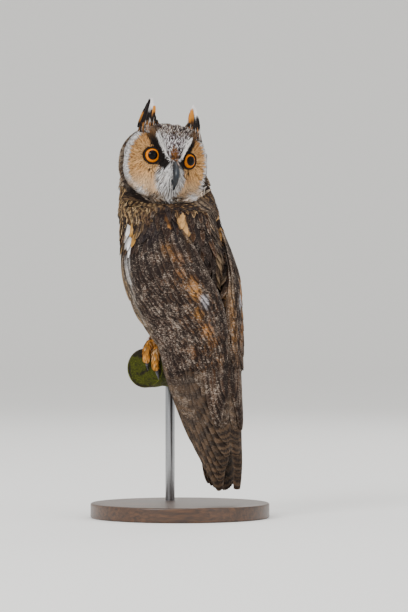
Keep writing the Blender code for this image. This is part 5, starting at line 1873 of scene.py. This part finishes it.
class OWL_OT_finishes(Step, bpy.types.Operator):
    """Makes the plumage and claw materials that several pieces share"""

    bl_idname = "owl.finishes"
    bl_label = "Shared Finishes"

    def build(self, sizes, colours):
        plumage_material(colours, "face plumage", 0.0011)
        plumage_material(colours, "head plumage", 0.0014)
        plumage_material(colours, "body plumage", 0.0013)
        plumage_material(colours, "wing plumage", 0.0013)
        horn_material("claw horn", "#1A1A1E", "#6B6870", 0.28)


class OWL_OT_skin(Step, bpy.types.Operator):
    """Builds the one downy skin of torso, neck, head, wing arms, legs and feet"""

    bl_idname = "owl.skin"
    bl_label = "Skin"

    def build(self, sizes, colours):
        skin = build_skin(sizes, colours)
        nodes = ("torso", "neck", "head", "leg_left", "leg_right", "foot_left", "foot_right")
        carried(skin, nodes)


class OWL_OT_face(Step, bpy.types.Operator):
    """Lays the fine feathers of the facial disc"""

    bl_idname = "owl.face"
    bl_label = "Face Feathers"

    def build(self, sizes, colours):
        carried(build_face_coat(skin_surface(), colours), ())


class OWL_OT_head(Step, bpy.types.Operator):
    """Lays the small feathers of the crown, nape and ruff"""

    bl_idname = "owl.head"
    bl_label = "Head Feathers"

    def build(self, sizes, colours):
        carried(build_head_coat(skin_surface(), colours), ())


class OWL_OT_body(Step, bpy.types.Operator):
    """Lays the feathers of the neck, breast, back and shoulders"""

    bl_idname = "owl.body"
    bl_label = "Body Feathers"

    def build(self, sizes, colours):
        carried(build_body_coat(skin_surface(), sizes, colours), ())


class OWL_OT_legs(Step, bpy.types.Operator):
    """Lays the short feathers of the legs and toes"""

    bl_idname = "owl.legs"
    bl_label = "Leg Feathers"

    def build(self, sizes, colours):
        carried(build_leg_coat(skin_surface(), colours), ())


class OWL_OT_wings(Step, bpy.types.Operator):
    """Builds the long feathers of both folded wings"""

    bl_idname = "owl.wings"
    bl_label = "Wings"

    def build(self, sizes, colours):
        carried(build_wing("wing_feathers_left", 1, 5, colours), ("wing_left",))
        carried(build_wing("wing_feathers_right", -1, 6, colours), ("wing_right",))


class OWL_OT_tail(Step, bpy.types.Operator):
    """Builds the barred tail"""

    bl_idname = "owl.tail"
    bl_label = "Tail"

    def build(self, sizes, colours):
        carried(build_tail(), ("tail",))


class OWL_OT_tufts(Step, bpy.types.Operator):
    """Builds the two ear tufts"""

    bl_idname = "owl.tufts"
    bl_label = "Ear Tufts"

    def build(self, sizes, colours):
        carried(build_tuft("tuft_feathers_right", -1, 31), ("ear_tuft_right",))
        carried(build_tuft("tuft_feathers_left", 1, 32), ("ear_tuft_left",))


class OWL_OT_eyes(Step, bpy.types.Operator):
    """Builds both eyes and their lids"""

    bl_idname = "owl.eyes"
    bl_label = "Eyes"

    def build(self, sizes, colours):
        carried(build_eye("eyeball_left", 1, colours), ("eye_left",))
        carried(build_eye("eyeball_right", -1, colours), ("eye_right",))
        lids = join([build_lids(1), build_lids(-1)], "lids")
        lids.data.materials.append(lid_material())
        carried(lids, ())


class OWL_OT_bill(Step, bpy.types.Operator):
    """Builds the bill's two halves"""

    bl_idname = "owl.bill"
    bl_label = "Bill"

    def build(self, sizes, colours):
        upper, lower = build_bill()
        carried(upper, ("bill_upper",))
        carried(lower, ("bill_lower",))


class OWL_OT_claws(Step, bpy.types.Operator):
    """Builds the claws of both feet"""

    bl_idname = "owl.claws"
    bl_label = "Claws"

    def build(self, sizes, colours):
        for name, stance, flank_toes, end_claws in (
            ("left", NEAR_FOOT, NEAR_FLANK_TOES, END_CLAWS),
            ("right", FAR_FOOT, FAR_FLANK_TOES, ()),
        ):
            nodes = [f"claw_{name}_{index}" for index in (1, 2, 3, 4)]
            carried(build_claws(f"claws_{name}", stance, flank_toes, end_claws), nodes)


class OWL_OT_perch(Step, bpy.types.Operator):
    """Builds the cut length of mossy branch"""

    bl_idname = "owl.perch"
    bl_label = "Perch"

    def build(self, sizes, colours):
        carried(build_perch(colours), ("perch",))


class OWL_OT_stand(Step, bpy.types.Operator):
    """Builds the base and the rod of the stand"""

    bl_idname = "owl.stand"
    bl_label = "Stand"

    def build(self, sizes, colours):
        base, rod = build_stand(colours)
        carried(base, ("stand_base",))
        carried(rod, ("stand_rod",))


class OWL_OT_stage(Step, bpy.types.Operator):
    """Sets up the floor, the lights and the camera"""

    bl_idname = "owl.stage"
    bl_label = "Stage"

    def build(self, sizes, colours):
        build_stage()


STEPS = (
    OWL_OT_finishes,
    OWL_OT_skin,
    OWL_OT_face,
    OWL_OT_head,
    OWL_OT_body,
    OWL_OT_legs,
    OWL_OT_wings,
    OWL_OT_tail,
    OWL_OT_tufts,
    OWL_OT_eyes,
    OWL_OT_bill,
    OWL_OT_claws,
    OWL_OT_perch,
    OWL_OT_stand,
    OWL_OT_stage,
)


class OWL_PT_panel(bpy.types.Panel):
    """Lists the owl's sizes, colours and steps"""

    bl_idname = "OWL_PT_panel"
    bl_label = "Owl"
    bl_space_type = "VIEW_3D"
    bl_region_type = "UI"
    bl_category = "Owl"

    def draw(self, context):
        for group in (context.scene.owl_sizes, context.scene.owl_colours):
            column = self.layout.column()
            for name in group.bl_rna.properties.keys():
                if name not in ("rna_type", "name"):
                    column.prop(group, name)
        column = self.layout.column()
        for step in STEPS:
            column.operator(step.bl_idname)


def register():
    for kind in (OwlSizes, OwlColours, *STEPS, OWL_PT_panel):
        bpy.utils.register_class(kind)
    bpy.types.Scene.owl_sizes = bpy.props.PointerProperty(type=OwlSizes)
    bpy.types.Scene.owl_colours = bpy.props.PointerProperty(type=OwlColours)


def unregister():
    del bpy.types.Scene.owl_colours
    del bpy.types.Scene.owl_sizes
    for kind in reversed((OwlSizes, OwlColours, *STEPS, OWL_PT_panel)):
        bpy.utils.unregister_class(kind)


def main():
    register()
    for step in STEPS:
        getattr(bpy.ops.owl, step.bl_idname.removeprefix("owl."))()


if __name__ == "__main__":
    main()
